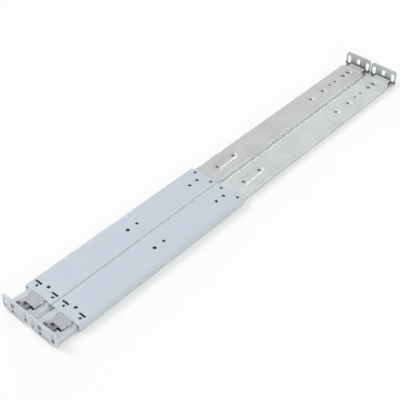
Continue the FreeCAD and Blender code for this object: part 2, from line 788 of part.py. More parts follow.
def middle_member():
    half = [(middle_half, middle_top), (middle_half, middle_bottom), (lip_edge, middle_bottom),
            (lip_edge, lip_top), (middle_inner, lip_top), (middle_inner, middle_under)]
    body = swept(symmetric_profile(half), middle_start, middle_end)
    length = middle_end - middle_start + 2 * over
    grooves = [Part.makeCylinder(race_radius, length, Vec(middle_start - over, y, ball_z), Vec(1, 0, 0))
               for y in (ball_y, -ball_y)]
    return body.cut(grooves)


def middle_glides():
    low, high = lip_top, server_top - server_sheet - glide_gap
    x0 = middle_start + middle_glide_start
    strips = []
    for side in (1, -1):
        y0, y1 = across(side, lip_edge, middle_inner)
        strips.append(block(x0, x0 + middle_glide_length, y0, y1, low, high))
    return Part.makeCompound(strips)


# ---- server member ------------------------------------------------------------------
def server_tab():
    """Upright front tab, notched for the latch lever's nose."""
    half = middle_half + groove_wall
    tab = block(0, server_tab_sheet, -half, half, server_bottom, server_tab_top)
    tab = facing_corner(tab, server_tab_corner, server_tab_top - server_tab_corner)
    notch_half, depth, corner = server_tab_notch
    return tab.cut(facing_window(hook_window_y - notch_half, hook_window_y + notch_half,
                                 server_tab_top - depth, server_tab_top + over,
                                 -over, server_tab_sheet + over, corner))


def keyhole(x, z0, z1):
    head = peg(x, 0, keyhole_head, z0, z1)
    neck = window(x, x + keyhole_run, -keyhole_neck, keyhole_neck, z0, z1, keyhole_neck / 2)
    return [head, neck]


def server_member():
    wall = server_wall - server_sheet / 2
    floor = server_bottom + server_sheet / 2
    top = server_top - server_sheet / 2
    line = mirrored([(server_half, top), (wall, top), (wall, floor)])
    hat = swept(sheet_section(line, server_sheet, [server_bend] * 4), 0, server_length)
    body = hat.fuse(server_tab()).removeSplitter()
    low, high = server_bottom - over, server_web + layer_gap
    cuts = keyhole(keyhole_front, low, high) + keyhole(server_length - keyhole_rear, low, high)
    for x in (server_hole_x, server_hole_x + server_hole_pitch):
        cuts.append(post(x, 0, server_hole_radius, low, high))
    cuts.append(peg(release_pivot_x, 0, release_pivot_radius, low, high))
    x0 = release_pivot_x + release_tab[0] - release_window_end
    x1 = release_pivot_x + release_tab[1] + release_window_end
    half = release_half + release_swing
    cuts.append(window(x0, x1, -half, half, low, high, release_window_corner))
    return body.cut(cuts)


def server_glides():
    """Nylon clips on the edges of the side flanges."""
    low, high = lip_top + glide_gap, middle_under - glide_gap
    inner = server_wall + part_gap
    outer = middle_inner - glide_gap
    clips = []
    for x in (middle_start + server_travel + clip_front, server_length - clip_end - clip_length):
        for side in (1, -1):
            y0, y1 = across(side, inner, outer)
            clip = block(x, x + clip_length, y0, y1, low, high)
            y0, y1 = across(side, inner - clip_inner, server_half)
            slot = block(x - over, x + clip_length + over, y0, y1, server_top - server_sheet, server_top)
            clips.append(clip.cut(slot))
    return Part.makeCompound(clips)


def release_lever():
    x0, x1 = release_pivot_x, release_pivot_x + release_arm
    tab_start, tab_end = release_tab
    arm = block(x0, x1, -release_half, release_half, release_low, release_top)
    boss = peg(x0, 0, release_boss, release_low, release_top)
    tip = peg(x1, 0, release_half, release_low, release_top)
    tab = block(x0 + tab_start, x0 + tab_end, -release_half, release_half,
                server_bottom + release_tab_drop, release_low)
    body = fused([arm, boss, tab, tip])
    return body.cut(post(x0, 0, release_pivot_radius + pin_gap, 0, release_top + over))


def release_pivot():
    head_low = release_top + release_head_gap
    staked = peg(release_pivot_x, 0, release_pivot_radius, server_bottom, server_web)
    shaft = post(release_pivot_x, 0, release_pivot_radius, server_web, head_low)
    head = peg(release_pivot_x, 0, release_head, head_low, head_low + release_head_height)
    return fused([staked, shaft, head])


def release_spring():
    """Leaf against the lever's side, held by a foot on the web."""
    x0 = release_pivot_x + leaf_start
    y1 = -release_half - leaf_gap
    y0 = y1 - spring_sheet
    foot_length, foot_reach = leaf_foot
    leaf = block(x0, x0 + leaf_length, y0, y1, server_web, server_web + leaf_height)
    foot = block(x0, x0 + foot_length, y0 - foot_reach, y1, server_web, server_web + spring_sheet)
    return leaf.fuse(foot).removeSplitter()


# ---- the pair -----------------------------------------------------------------------
PIECES = {
    "front_sleeve": front_sleeve,
    "front_bracket": front_bracket,
    "front_flange": front_flange,
    "flange_rivets": flange_rivets,
    "sleeve_rivets": sleeve_rivets,
    "race_rivets": race_rivets,
    "latch_lever": latch_lever,
    "latch_pin": latch_pin,
    "latch_spring": latch_spring,
    "rear_bracket": rear_bracket,
    "rear_flange": rear_flange,
    "rear_screws": rear_screws,
    "outer_race": outer_race,
    "race_bumper": race_bumper,
    "ball_cage": ball_cage,
    "balls": balls,
    "middle_member": middle_member,
    "middle_glides": middle_glides,
    "server_member": server_member,
    "server_glides": server_glides,
    "release_lever": release_lever,
    "release_pivot": release_pivot,
    "release_spring": release_spring,
}

os.makedirs("parts", exist_ok=True)
for name, make in PIECES.items():
    shape = make()
    for side, y in (("left", rail_pitch / 2), ("right", -rail_pitch / 2)):
        placed = shape.copy()
        placed.translate(Vec(-rail_length / 2, y, 0))
        placed.exportStep("parts/" + side + "_" + name + ".step")
    print(name, "solids", len(shape.Solids), "valid", shape.isValid(), "volume", round(shape.Volume, 1))
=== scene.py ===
import json
import math

import bmesh
import bpy
from mathutils import Matrix, Vector

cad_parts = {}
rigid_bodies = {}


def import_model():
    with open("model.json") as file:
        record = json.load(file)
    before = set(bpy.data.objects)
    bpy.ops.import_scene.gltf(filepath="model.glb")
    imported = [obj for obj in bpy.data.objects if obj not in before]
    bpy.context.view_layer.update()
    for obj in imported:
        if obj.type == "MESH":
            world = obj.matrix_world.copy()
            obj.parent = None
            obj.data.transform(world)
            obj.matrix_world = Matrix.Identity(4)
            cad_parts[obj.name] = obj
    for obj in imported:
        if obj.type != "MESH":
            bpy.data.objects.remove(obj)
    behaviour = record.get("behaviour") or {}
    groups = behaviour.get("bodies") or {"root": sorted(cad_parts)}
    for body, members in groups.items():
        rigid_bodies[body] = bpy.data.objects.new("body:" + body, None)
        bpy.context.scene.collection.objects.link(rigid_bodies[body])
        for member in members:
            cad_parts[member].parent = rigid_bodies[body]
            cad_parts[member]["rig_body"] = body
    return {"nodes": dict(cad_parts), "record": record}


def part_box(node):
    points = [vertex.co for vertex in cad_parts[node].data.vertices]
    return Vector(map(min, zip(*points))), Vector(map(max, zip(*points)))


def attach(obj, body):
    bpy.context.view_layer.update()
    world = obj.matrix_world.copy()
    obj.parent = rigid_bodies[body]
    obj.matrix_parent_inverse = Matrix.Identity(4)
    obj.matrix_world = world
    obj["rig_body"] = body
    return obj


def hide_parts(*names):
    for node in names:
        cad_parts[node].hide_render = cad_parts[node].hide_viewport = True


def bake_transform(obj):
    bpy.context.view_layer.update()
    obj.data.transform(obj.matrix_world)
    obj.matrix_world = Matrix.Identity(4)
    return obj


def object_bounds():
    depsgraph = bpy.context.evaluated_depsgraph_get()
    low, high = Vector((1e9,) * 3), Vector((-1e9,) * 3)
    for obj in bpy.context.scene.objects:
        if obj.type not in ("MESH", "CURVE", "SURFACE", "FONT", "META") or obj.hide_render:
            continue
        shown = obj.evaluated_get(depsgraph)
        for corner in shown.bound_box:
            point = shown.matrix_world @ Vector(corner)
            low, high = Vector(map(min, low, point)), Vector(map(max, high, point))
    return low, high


# Looks of a pair of sliding rails for a 1U rack server.
# A piece is drawn once in millimetres on one rail, with x = 0 on the front flange's face,
# y = 0 on the rail's centre line and z = 0 on the floor, and is then set out on both rails in metres.

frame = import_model()
cad_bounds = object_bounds()
nodes = frame["nodes"]

MM = 0.001
SIDES = {"left": 1, "right": -1}

# ---- the frame's own sizes ----
rail_front = cad_bounds[0][0]
rail_pitch = (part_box("left_front_sleeve")[0].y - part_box("right_front_sleeve")[0].y) / MM


def size_of(name):
    """The lowest and highest corner of a CAD node on its own rail, in millimetres."""
    shift = Vector((rail_front, rail_pitch / 2 * MM, 0))
    return [(corner - shift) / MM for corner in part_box("left_" + name)]


sleeve_low, sleeve_high = size_of("front_sleeve")
bracket_low, bracket_high = size_of("rear_bracket")
fixed_low, fixed_high = size_of("front_bracket")
flange_low, flange_high = size_of("front_flange")
rear_low, rear_high = size_of("rear_flange")
lever_low, lever_high = size_of("latch_lever")
member_low, member_high = size_of("server_member")
pin_low = size_of("latch_pin")[0]
ball_low, ball_high = size_of("balls")

# ---- sizes in millimetres ----
break_edge = 0.12            # worn-off edge of a sheared sheet
bevel_angle = 35             # an edge that turns by more degrees than this is broken
crease_angle = 15            # one between this and the bevel angle stays a crease
bend_steps = 7
round_steps = 40
over = 1.0                   # how far a cutter reaches past what it cuts
far = 30.0                   # past every side of a rail
part_gap = 0.3
small_corner = 0.5

sleeve_sheet = 1.2
sleeve_bend = 0.7
hem_gap = 0.6
hem_height = 5.0
sleeve_start, sleeve_end = sleeve_low.x, sleeve_high.x
sleeve_top = sleeve_high.z
sleeve_half = sleeve_high.y + 0.25
hook_slot_size = (2.8, 10.0)
hook_slot_corner = 0.9
hook_slot_ys = (13.1, -13.1)
hook_slot_x = sleeve_start + 12.5
hook_tab_x = hook_slot_x - hook_slot_size[0] / 2
hook_tab_top = sleeve_top - 0.9
hook_way_length = 3.4        # of the opening left in the web where a tab is bent up
hook_way_ys = (9.0, 16.0)
eyelets = [(sleeve_start + 8.0, y) for y in (11.3, -14.6)]
eyelet_radius = 2.1
race_rivets = [(x, 0) for x in (sleeve_start + 15.0, sleeve_end - 27.0, sleeve_end - 13.5)]
race_rivet_radius = 2.5
rivet_sink = 0.1             # of a hollow rivet's rim below the sleeve's face
sleeve_holes = ((sleeve_start + 136.4, 0, 2.5), (sleeve_start + 151.6, 0, 2.0),
                (sleeve_end - 4.0, 11.5, 2.2), (sleeve_end - 4.0, -14.5, 2.2))

bracket_sheet = 1.2
bracket_bend = 1.2
fixed_bend = 2.4
bracket_half = bracket_high.y
bracket_wall = bracket_half - bracket_sheet / 2
bracket_top = bracket_high.z
bracket_middle = bracket_top - bracket_sheet / 2
bracket_under = bracket_top - bracket_sheet
shoulder_radius = 3.2

plate = 2.0
plate_corner = 4.0
slot_ys = (15.875, -15.875)
slot_width = 5.4
slot_span = (5.0, 18.0)
hook_window_y = 4.0
hook_window_width = 6.4
hook_window_span = (9.4, 18.0)
window_corner = 0.8
foot_sheet = 1.5
foot_end = 9.0
foot_corner = 0.4
flange_rivets = ((5.6, 13.0), (5.6, -14.5))
flange_rivet_radius = 1.5
mouth = (10.9, 7.7, 1.0)     # half width, top and corner of the server member's way out
weld = ((-0.2, -0.2), (1.2, -0.2), (0.5, 0.25), (0.25, 0.5), (-0.2, 1.2))    # x and z from its corner
weld_clear = 0.4

window_xs = (14.0, 29.0)
window_round = 0.6
pivot_x = 26.3
pivot_z = 10.4
pin_radius = 0.8
pin_head = 0.5               # how far the pin's head stands out round it
ear_sheet = 1.0
ear_reach = 2.1
ear_root = bracket_under + 0.1
lever_sheet = 1.0
lever_bend = 1.1
lever_front = 15.5
lever_top = 12.3
lever_left, lever_right = lever_high.y, lever_low.y
lever_drop = 0.3             # how far its lips and its skirts at the back stay below its top
lever_lips = ((-12.0, -7.0), (-1.6, 1.0))    # each side of the leaf spring
nose_ys = (hook_window_y - 2.5, hook_window_y + 2.5)
nose_front = 0.4
nose_z = 13.8
nose_slope = 5.5
nose_bend = 1.5
nose_sheet = 0.94
barb = ((nose_front, 12.9), (1.9, 12.9), (1.9, 15.0), (1.5, 15.3), (0.8, 15.3), (nose_front, 14.6))

wall_end = 636.5
tongue_ys = (-15.0, 9.0)
tongue_lift = 0.7
tongue_slope = 2.0
tongue_bend = 0.7
lip_edge = 12.7
guide_slot = (123.05, 293.45, -3.45, 3.45, 1.6)      # two x's, two y's and the corner
recess_x = sleeve_end + 41.0
recess_length, recess_width, recess_depth = 45.0, 12.0, 0.85
recess_draft = 1.9
recess_holes = [(recess_x - 15.5, 0), (recess_x + 15.5, 0)]
recess_hole_radius = 2.4
dimple_at = (recess_holes[0][0] - 1.6, -2.6)         # a round hollow at the recess's near end
dimple_radius = 6.2
dimple_floor = 4.0
dimple_rest = 0.25           # sheet left under the dimple
screws = [(x, 0) for x in (532.5, 561.5, 614.5, 626.5)]
screw_radius = 2.0
screw_mouth = 5.8            # radius of the hollow pressed round a screw
screw_face = 2.9             # radius of the head's face
screw_sink = 1.5
seat_rim = screw_face + 0.2
seat_depth = 0.3
screw_slope = (screw_mouth - seat_rim) / bracket_sheet
rear_holes = [(579.5, 0), (592.5, 0)]
rear_hole_radius = 2.0
rear_foot_sheet = 1.6
screw_length = bracket_sheet + rear_foot_sheet + 0.6 - screw_sink
rear_foot_half = bracket_half - bracket_sheet - part_gap
rear_foot_web_end = 643.0
rear_foot_low_top = 4.6
shelf_tail = 4.0             # how far the low shelf runs in under the foot's web
shelf_zs = (rear_low.z + 0.1, rear_low.z + 1.5)

server_sheet = 1.0
server_bend = 0.8
server_wall = 6.8
server_top = 3.7
server_lip = 8.7
server_start = 0.4
server_tab_top = 7.4
server_tab_half = 10.6
server_tab_sheet = 1.2
server_tab_corner = 2.0
tab_notch = (2.0, 3.0, 0.6)  # half width, depth and corner
keyholes = (62.0, 410.0)
keyhole_head, keyhole_neck, keyhole_run = 4.2, 2.2, 9.0
server_holes = [(110.0, 0), (310.0, 0)]
server_hole_radius = 2.25
release_window = (178.5, 190.5, -5.2, 5.2, 0.8)      # two x's, two y's and the corner
race_floor = 6.0
race_reach = 13.2            # half width of what is cut in the race's web


# ---- outlines and solids ----
def arc(x, y, radius, start, sweep, steps):
    """Points round (x, y), from the angle start through sweep."""
    angles = [start + sweep * i / steps for i in range(steps + 1)]
    return [(x + radius * math.cos(a), y + radius * math.sin(a)) for a in angles]


def circle(x, y, radius, steps=round_steps):
    return arc(x, y, radius, 0, 2 * math.pi, steps)[:-1]


def rounded(x0, x1, y0, y1, radius, steps=bend_steps):
    """A rectangle with round corners."""
    centres = ((x1 - radius, y1 - radius), (x0 + radius, y1 - radius),
               (x0 + radius, y0 + radius), (x1 - radius, y0 + radius))
    return [point for quarter, centre in enumerate(centres)
            for point in arc(*centre, radius, math.pi / 2 * quarter, math.pi / 2, steps)]


def arch(half, low, high, corner, steps):
    """An upright outline whose two upper corners are round."""
    upper = high - corner
    return [(half, low), *arc(half - corner, upper, corner, 0, math.pi / 2, steps),
            *arc(corner - half, upper, corner, math.pi / 2, math.pi / 2, steps), (-half, low)]


def unit(start, end):
    length = math.hypot(end[0] - start[0], end[1] - start[1])
    return ((end[0] - start[0]) / length, (end[1] - start[1]) / length)


def sheet_outline(line, sheet, bends):
    """Closed outline of a bent sheet whose centre line turns with the given radii."""
    sides = {1: [], -1: []}
    half = sheet / 2

    def end_points(point, along):
        for side, points in sides.items():
            points.append((point[0] - along[1] * half * side, point[1] + along[0] * half * side))

    end_points(line[0], unit(line[0], line[1]))
    for before, corner, after, radius in zip(line, line[1:], line[2:], bends):
        arriving, leaving = unit(before, corner), unit(corner, after)
        turn = math.atan2(arriving[0] * leaving[1] - arriving[1] * leaving[0],
                          arriving[0] * leaving[0] + arriving[1] * leaving[1])
        reach = radius * math.tan(abs(turn) / 2)
        left = 1 if turn > 0 else -1
        begin = (corner[0] - arriving[0] * reach, corner[1] - arriving[1] * reach)
        centre = (begin[0] - arriving[1] * radius * left, begin[1] + arriving[0] * radius * left)
        start = math.atan2(begin[1] - centre[1], begin[0] - centre[0])
        for side, points in sides.items():
            points += arc(*centre, radius - half * left * side, start, turn, bend_steps)
    end_points(line[-1], unit(line[-2], line[-1]))
    return sides[1] + sides[-1][::-1]


# A solid is given by its two end outlines.
def taper(low_ring, high_ring, z0, z1):
    return [(x, y, z0) for x, y in low_ring], [(x, y, z1) for x, y in high_ring]


def post(ring, z0, z1):
    return taper(ring, ring, z0, z1)


def bar(ring, x0, x1):
    return [(x0, y, z) for y, z in ring], [(x1, y, z) for y, z in ring]


def crossbar(ring, y0, y1):
    return [(x, y0, z) for x, z in ring], [(x, y1, z) for x, z in ring]


def hole(x, y, radius, z0, z1):
    return post(circle(x, y, radius), z0, z1)


def holes(places, radius, z0, z1):
    return [hole(x, y, radius, z0, z1) for x, y in places]


def cone(x, y, low_radius, high_radius, z0, z1):
    return taper(circle(x, y, low_radius), circle(x, y, high_radius), z0, z1)


def brick(x0, x1, y0, y1, z0, z1):
    return post([(x0, y0), (x1, y0), (x1, y1), (x0, y1)], z0, z1)


def loft(work, first, last):
    """A closed solid between two outlines with as many points."""
    low = [work.verts.new(p) for p in first]
    high = [work.verts.new(p) for p in last]
    faces = [work.faces.new(low), work.faces.new(high)]
    for i in range(len(first)):
        j = (i + 1) % len(first)
        faces.append(work.faces.new((low[i], low[j], high[j], high[i])))
    bmesh.ops.recalc_face_normals(work, faces=faces)


def stored(work, mesh=None):
    """Writes a bmesh to this mesh or a new one, and frees it."""
    if mesh is None:
        mesh = bpy.data.meshes.new("work")
    work.to_mesh(mesh)
    work.free()
    return mesh


def solid(*pairs):
    work = bmesh.new()
    for first, last in pairs:
        loft(work, first, last)
    return stored(work)


def joined(*meshes):
    work = bmesh.new()
    for mesh in meshes:
        work.from_mesh(mesh)
    return stored(work)


def channel(half_line, sheet, bends, x0, x1):
    """A bent channel, the same on both sides of the centre line."""
    line = half_line + [(-y, z) for y, z in reversed(half_line)]
    return solid(bar(sheet_outline(line, sheet, bends), x0, x1))


def linked(name, data):
    """A new object in the scene."""
    ob = bpy.data.objects.new(name, data)
    bpy.context.scene.collection.objects.link(ob)
    return ob


def settled(ob):
    """The mesh that an object's modifiers give; the object itself is removed."""
    depsgraph = bpy.context.evaluated_depsgraph_get()
    shown = ob.evaluated_get(depsgraph)
    mesh = bpy.data.meshes.new_from_object(shown, preserve_all_data_layers=True, depsgraph=depsgraph)
    bpy.data.objects.remove(ob)
    return mesh


def cut(mesh, *pairs):
    """A mesh less each solid in pairs."""
    ob, cutter = linked("work", mesh), linked("cutter", solid(*pairs))
    taken = ob.modifiers.new("cut", "BOOLEAN")
    taken.operation = "DIFFERENCE"
    taken.solver = "EXACT"
    taken.object = cutter
    result = settled(ob)
    bpy.data.objects.remove(cutter)
    return result


def eased(mesh, width=break_edge, crease=crease_angle):
    """Breaks the sharp edges, keeps shallow creases and evens the normals of flat faces."""
    work = bmesh.new()
    work.from_mesh(mesh)
    bmesh.ops.remove_doubles(work, verts=work.verts, dist=0.001)
    bmesh.ops.dissolve_limit(work, angle_limit=math.radians(0.5), verts=work.verts, edges=work.edges)
    for face in work.faces:
        face.smooth = True
    for edge in work.edges:
        edge.smooth = not math.radians(crease) < edge.calc_face_angle(0) < math.radians(bevel_angle)
    ob = linked("work", stored(work, mesh))
    bevel = ob.modifiers.new("edges", "BEVEL")
    bevel.width = width
    bevel.segments = 2
    bevel.limit_method = "ANGLE"
    bevel.angle_limit = math.radians(bevel_angle)
    bevel.use_clamp_overlap = False
    ob.modifiers.new("normals", "WEIGHTED_NORMAL").keep_sharp = True
    return settled(ob)


def smoothed(mesh):
    """Smooth faces with sharp edges kept, for turned parts."""
    work = bmesh.new()
    work.from_mesh(mesh)
    bmesh.ops.remove_doubles(work, verts=work.verts, dist=0.0005)
    bmesh.ops.recalc_face_normals(work, faces=work.faces)
    stored(work, mesh)
    mesh.shade_smooth()
    mesh.set_sharp_from_angle(angle=math.radians(30))
    return mesh


# ---- node trees ----
def socket_name(key):
    """The socket that a keyword stands for: line_width gives Line width."""
    return key.replace("_", " ").capitalize()


class Wires:
    """Short ways to add and link nodes in one tree. A value is a plain one or another socket."""

    def __init__(self, tree):
        self.tree = tree

    def add(self, kind, sockets=None, **settings):
        node = self.tree.nodes.new(kind)
        for key, value in settings.items():
            setattr(node, key, value)
        for label, value in (sockets or {}).items():
            self.feed(node.inputs[label], value)
        return node

    def feed(self, socket, value):
        if isinstance(value, bpy.types.NodeSocket):
            self.tree.links.new(value, socket)
        else:
            socket.default_value = value

    def math(self, operation, a, b=0.0):
        return self.add("ShaderNodeMath", {0: a, 1: b}, operation=operation).outputs[0]

    def plus(self, a, b):
        return self.math("ADD", a, b)

    def minus(self, a, b):
        return self.math("SUBTRACT", a, b)

    def times(self, a, b):
        return self.math("MULTIPLY", a, b)

    def per(self, a):
        return self.math("DIVIDE", 1.0, a)

    def vector(self, operation, a, b):
        node = self.add("ShaderNodeVectorMath", {0: a, 1: b}, operation=operation)
        return node.outputs["Value" if operation == "DOT_PRODUCT" else "Vector"]

    def join(self, x, y, z):
        return self.add("ShaderNodeCombineXYZ", {0: x, 1: y, 2: z}).outputs[0]

    def axes(self, place):
        return self.add("ShaderNodeSeparateXYZ", {0: place}).outputs

    def noise(self, place, scale, detail=2.0, rough=0.5):
        return self.add("ShaderNodeTexNoise", {"Vector": place, "Scale": scale, "Detail": detail,
                                               "Roughness": rough}).outputs["Fac"]

    def spread(self, value, low, high, to_low=0.0, to_high=1.0):
        sockets = dict(enumerate((value, low, high, to_low, to_high)))
        return self.add("ShaderNodeMapRange", sockets, clamp=True).outputs[0]

    def mix(self, factor, a, b):
        return self.add("ShaderNodeMix", {"Factor": factor, 6: a, 7: b}, data_type="RGBA").outputs[2]

    def group(self, tree, place, **values):
        node = self.add("ShaderNodeGroup", node_tree=tree)
        self.feed(node.inputs["Place"], place)
        for key, value in values.items():
            self.feed(node.inputs[socket_name(key)], value)
        return node.outputs


# ---- shader node groups ----
def new_group(name, outputs, colours=(), **values):
    """An empty group that takes a place, these colours and these values; also its ends."""
    tree = bpy.data.node_groups.new(name, "ShaderNodeTree")

    def socket(label, way, kind):
        return tree.interface.new_socket(name=label, in_out=way, socket_type="NodeSocket" + kind)

    socket("Place", "INPUT", "Vector")
    for label in colours:
        socket(label, "INPUT", "Color")
    for key, value in values.items():
        socket(socket_name(key), "INPUT", "Float").default_value = value
    for label in outputs:
        socket(label, "OUTPUT", "Color" if label == "Colour" else "Float")
    given = tree.nodes.new("NodeGroupInput").outputs
    return Wires(tree), given, tree.nodes.new("NodeGroupOutput").inputs


def brush_grain_group():
    """Fine lines along X: a shade around one half, and the same as a height."""
    w, given, result = new_group("Brush_grain", ("Shade", "Height"), line_length=0.03, line_width=0.0004)
    across = w.per(given["Line width"])
    along = w.per(given["Line length"])
    stretched = w.vector("MULTIPLY", given["Place"], w.join(along, across, across))
    fine = w.noise(stretched, 1.0, 3.0, 0.6)
    broad = w.noise(stretched, 0.23, 1.0)
    shade = w.plus(w.times(fine, 0.65), w.times(broad, 0.35))
    w.feed(result["Shade"], w.spread(shade, 0.3, 0.7))
    w.feed(result["Height"], fine)
    return w.tree


def zinc_bloom_group():
    """The soft cloudy crystals of a zinc plate, and a faint speckle over them."""
    w, given, result = new_group("Zinc_bloom", ("Bloom", "Speckle"), crystal_size=0.004,
                                 speckle_size=0.0009)
    place = given["Place"]
    waves = w.join(w.noise(place, 300.0), w.noise(place, 260.0), 0.5)
    warped = w.vector("ADD", place, w.vector("MULTIPLY", waves, (0.003, 0.003, 0.003)))
    crystals = w.add("ShaderNodeTexVoronoi", {"Smoothness": 0.6, "Vector": warped,
                                              "Scale": w.per(given["Crystal size"])}, feature="SMOOTH_F1")
    w.feed(result["Bloom"], w.add("ShaderNodeSeparateColor", {0: crystals.outputs["Color"]}).outputs[0])
    w.feed(result["Speckle"], w.noise(place, w.per(given["Speckle size"]), 2.0))
    return w.tree


def handling_group():
    """Marks of handling: broad smudges, and fine scratches at two slants."""
    w, given, result = new_group("Handling", ("Smudge", "Scratch"), smudge_size=0.03, smudge_share=0.5,
                                 scratch_share=0.2)
    clouds = w.noise(given["Place"], w.per(given["Smudge size"]), 3.0, 0.55)
    limit = w.minus(0.85, w.times(given["Smudge share"], 0.6))
    w.feed(result["Smudge"], w.spread(clouds, w.minus(limit, 0.12), w.plus(limit, 0.12)))
    lines = []
    for slant, length, width in ((0.5, 0.02, 0.0005), (-0.9, 0.012, 0.0004)):
        scale = (1 / length, 1 / width, 1 / width)
        turned = w.add("ShaderNodeMapping", {"Vector": given["Place"], "Rotation": (0, 0, slant),
                                             "Scale": scale}, vector_type="POINT")
        lines.append(w.noise(turned.outputs[0], 1.0, 1.0))
    edge = w.minus(0.86, w.times(given["Scratch share"], 0.25))
    w.feed(result["Scratch"], w.spread(w.math("MAXIMUM", *lines), edge, w.plus(edge, 0.04)))
    return w.tree


def edge_rub_group():
    """A mask that is one along corners and edges, where plating has rubbed bright."""
    w, given, result = new_group("Edge_rub", ("Mask",), reach=0.0006, breaks=0.4)
    rounded_normal = w.add("ShaderNodeBevel", {"Radius": given["Reach"]}, samples=4)
    normal = w.add("ShaderNodeNewGeometry").outputs["Normal"]
    mask = w.spread(w.vector("DOT_PRODUCT", rounded_normal.outputs[0], normal), 0.995, 0.9)
    broken = w.spread(w.noise(given["Place"], 350.0, 3.0), 0.35, 0.6)
    kept = w.minus(1.0, given["Breaks"])
    w.feed(result["Mask"], w.times(mask, w.math("MAXIMUM", broken, kept)))
    return w.tree


def rail_tint_group():
    """Colour by place: one at the front end, and one for each rail behind it."""
    w, given, result = new_group("Rail_tint", ("Colour",), ("Front", "Left rail", "Right rail"),
                                 front_end=0.05, fade=0.07)
    x, y = w.axes(given["Place"])[:2]
    reach = w.plus(given["Front end"], rail_front)
    rail = w.mix(w.spread(y, -0.003, 0.003), given["Right rail"], given["Left rail"])
    behind = w.spread(x, reach, w.plus(reach, given["Fade"]))
    w.feed(result["Colour"], w.mix(behind, given["Front"], rail))
    return w.tree


def shade_band_group():
    """A mask of painted shade between two places along X, broken up by noise."""
    w, given, result = new_group("Shade_band", ("Mask",), start=0.0, end=0.1, fade=0.003)
    x, fade = w.axes(given["Place"])[0], given["Fade"]
    begun = w.spread(x, given["Start"], w.plus(given["Start"], fade))
    ended = w.spread(x, given["End"], w.plus(given["End"], fade))
    patchy = w.spread(w.noise(given["Place"], 400.0, 3.0), 0.2, 0.7, 0.8, 1.0)
    w.feed(result["Mask"], w.times(w.minus(begun, ended), patchy))
    return w.tree


def side_light_masks_group():
    """Masks that are one on a rail's upright sides, and away from the middle of the pair: where painted
    light makes the sides paler.
    """
    w, given, result = new_group("Side_light_masks", ("Side", "Outer"), steep_from=0.55, steep_to=0.9,
                                 outer_from=0.008, outer_to=0.012)
    normal = w.add("ShaderNodeNewGeometry").outputs["Normal"]
    for label, vector, reach in (("Side", normal, "Steep"), ("Outer", given["Place"], "Outer")):
        across = w.math("ABSOLUTE", w.axes(vector)[1])
        w.feed(result[label], w.spread(across, given[reach + " from"], given[reach + " to"]))
    return w.tree


BRUSH = brush_grain_group()
BLOOM = zinc_bloom_group()
HANDLING = handling_group()
RUB = edge_rub_group()
TINT = rail_tint_group()
SHADE_BAND = shade_band_group()
SIDE_LIGHT_MASKS = side_light_masks_group()


# ---- materials ----
# Near-black colour of painted shade, laid where shade falls in hollows, gaps and under parts.
PAINTED_SHADE_COLOUR = (0.035, 0.036, 0.045, 1)


def start_material(name):
    material = bpy.data.materials.new(name)
    material.use_nodes = True
    return material, Wires(material.node_tree), material.node_tree.nodes["Principled BSDF"]


def finish_material(w, shader, colour, metallic, rough, strength, depth, height):
    relief = w.add("ShaderNodeBump", {"Strength": strength, "Distance": depth * MM, "Height": height})
    for label, value in (("Base Color", colour), ("Metallic", metallic), ("Roughness", rough),
                         ("Normal", relief.outputs[0])):
        w.feed(shader.inputs[label], value)


def shaded(colour, factor):
    return (*(part * factor for part in colour[:3]), 1.0)


def scaled(w, colour, factor):
    """A plain colour times a number, or a linked colour times it."""
    if not isinstance(colour, bpy.types.NodeSocket):
        return shaded(colour, factor)
    return w.vector("MULTIPLY", colour, (factor, factor, factor))


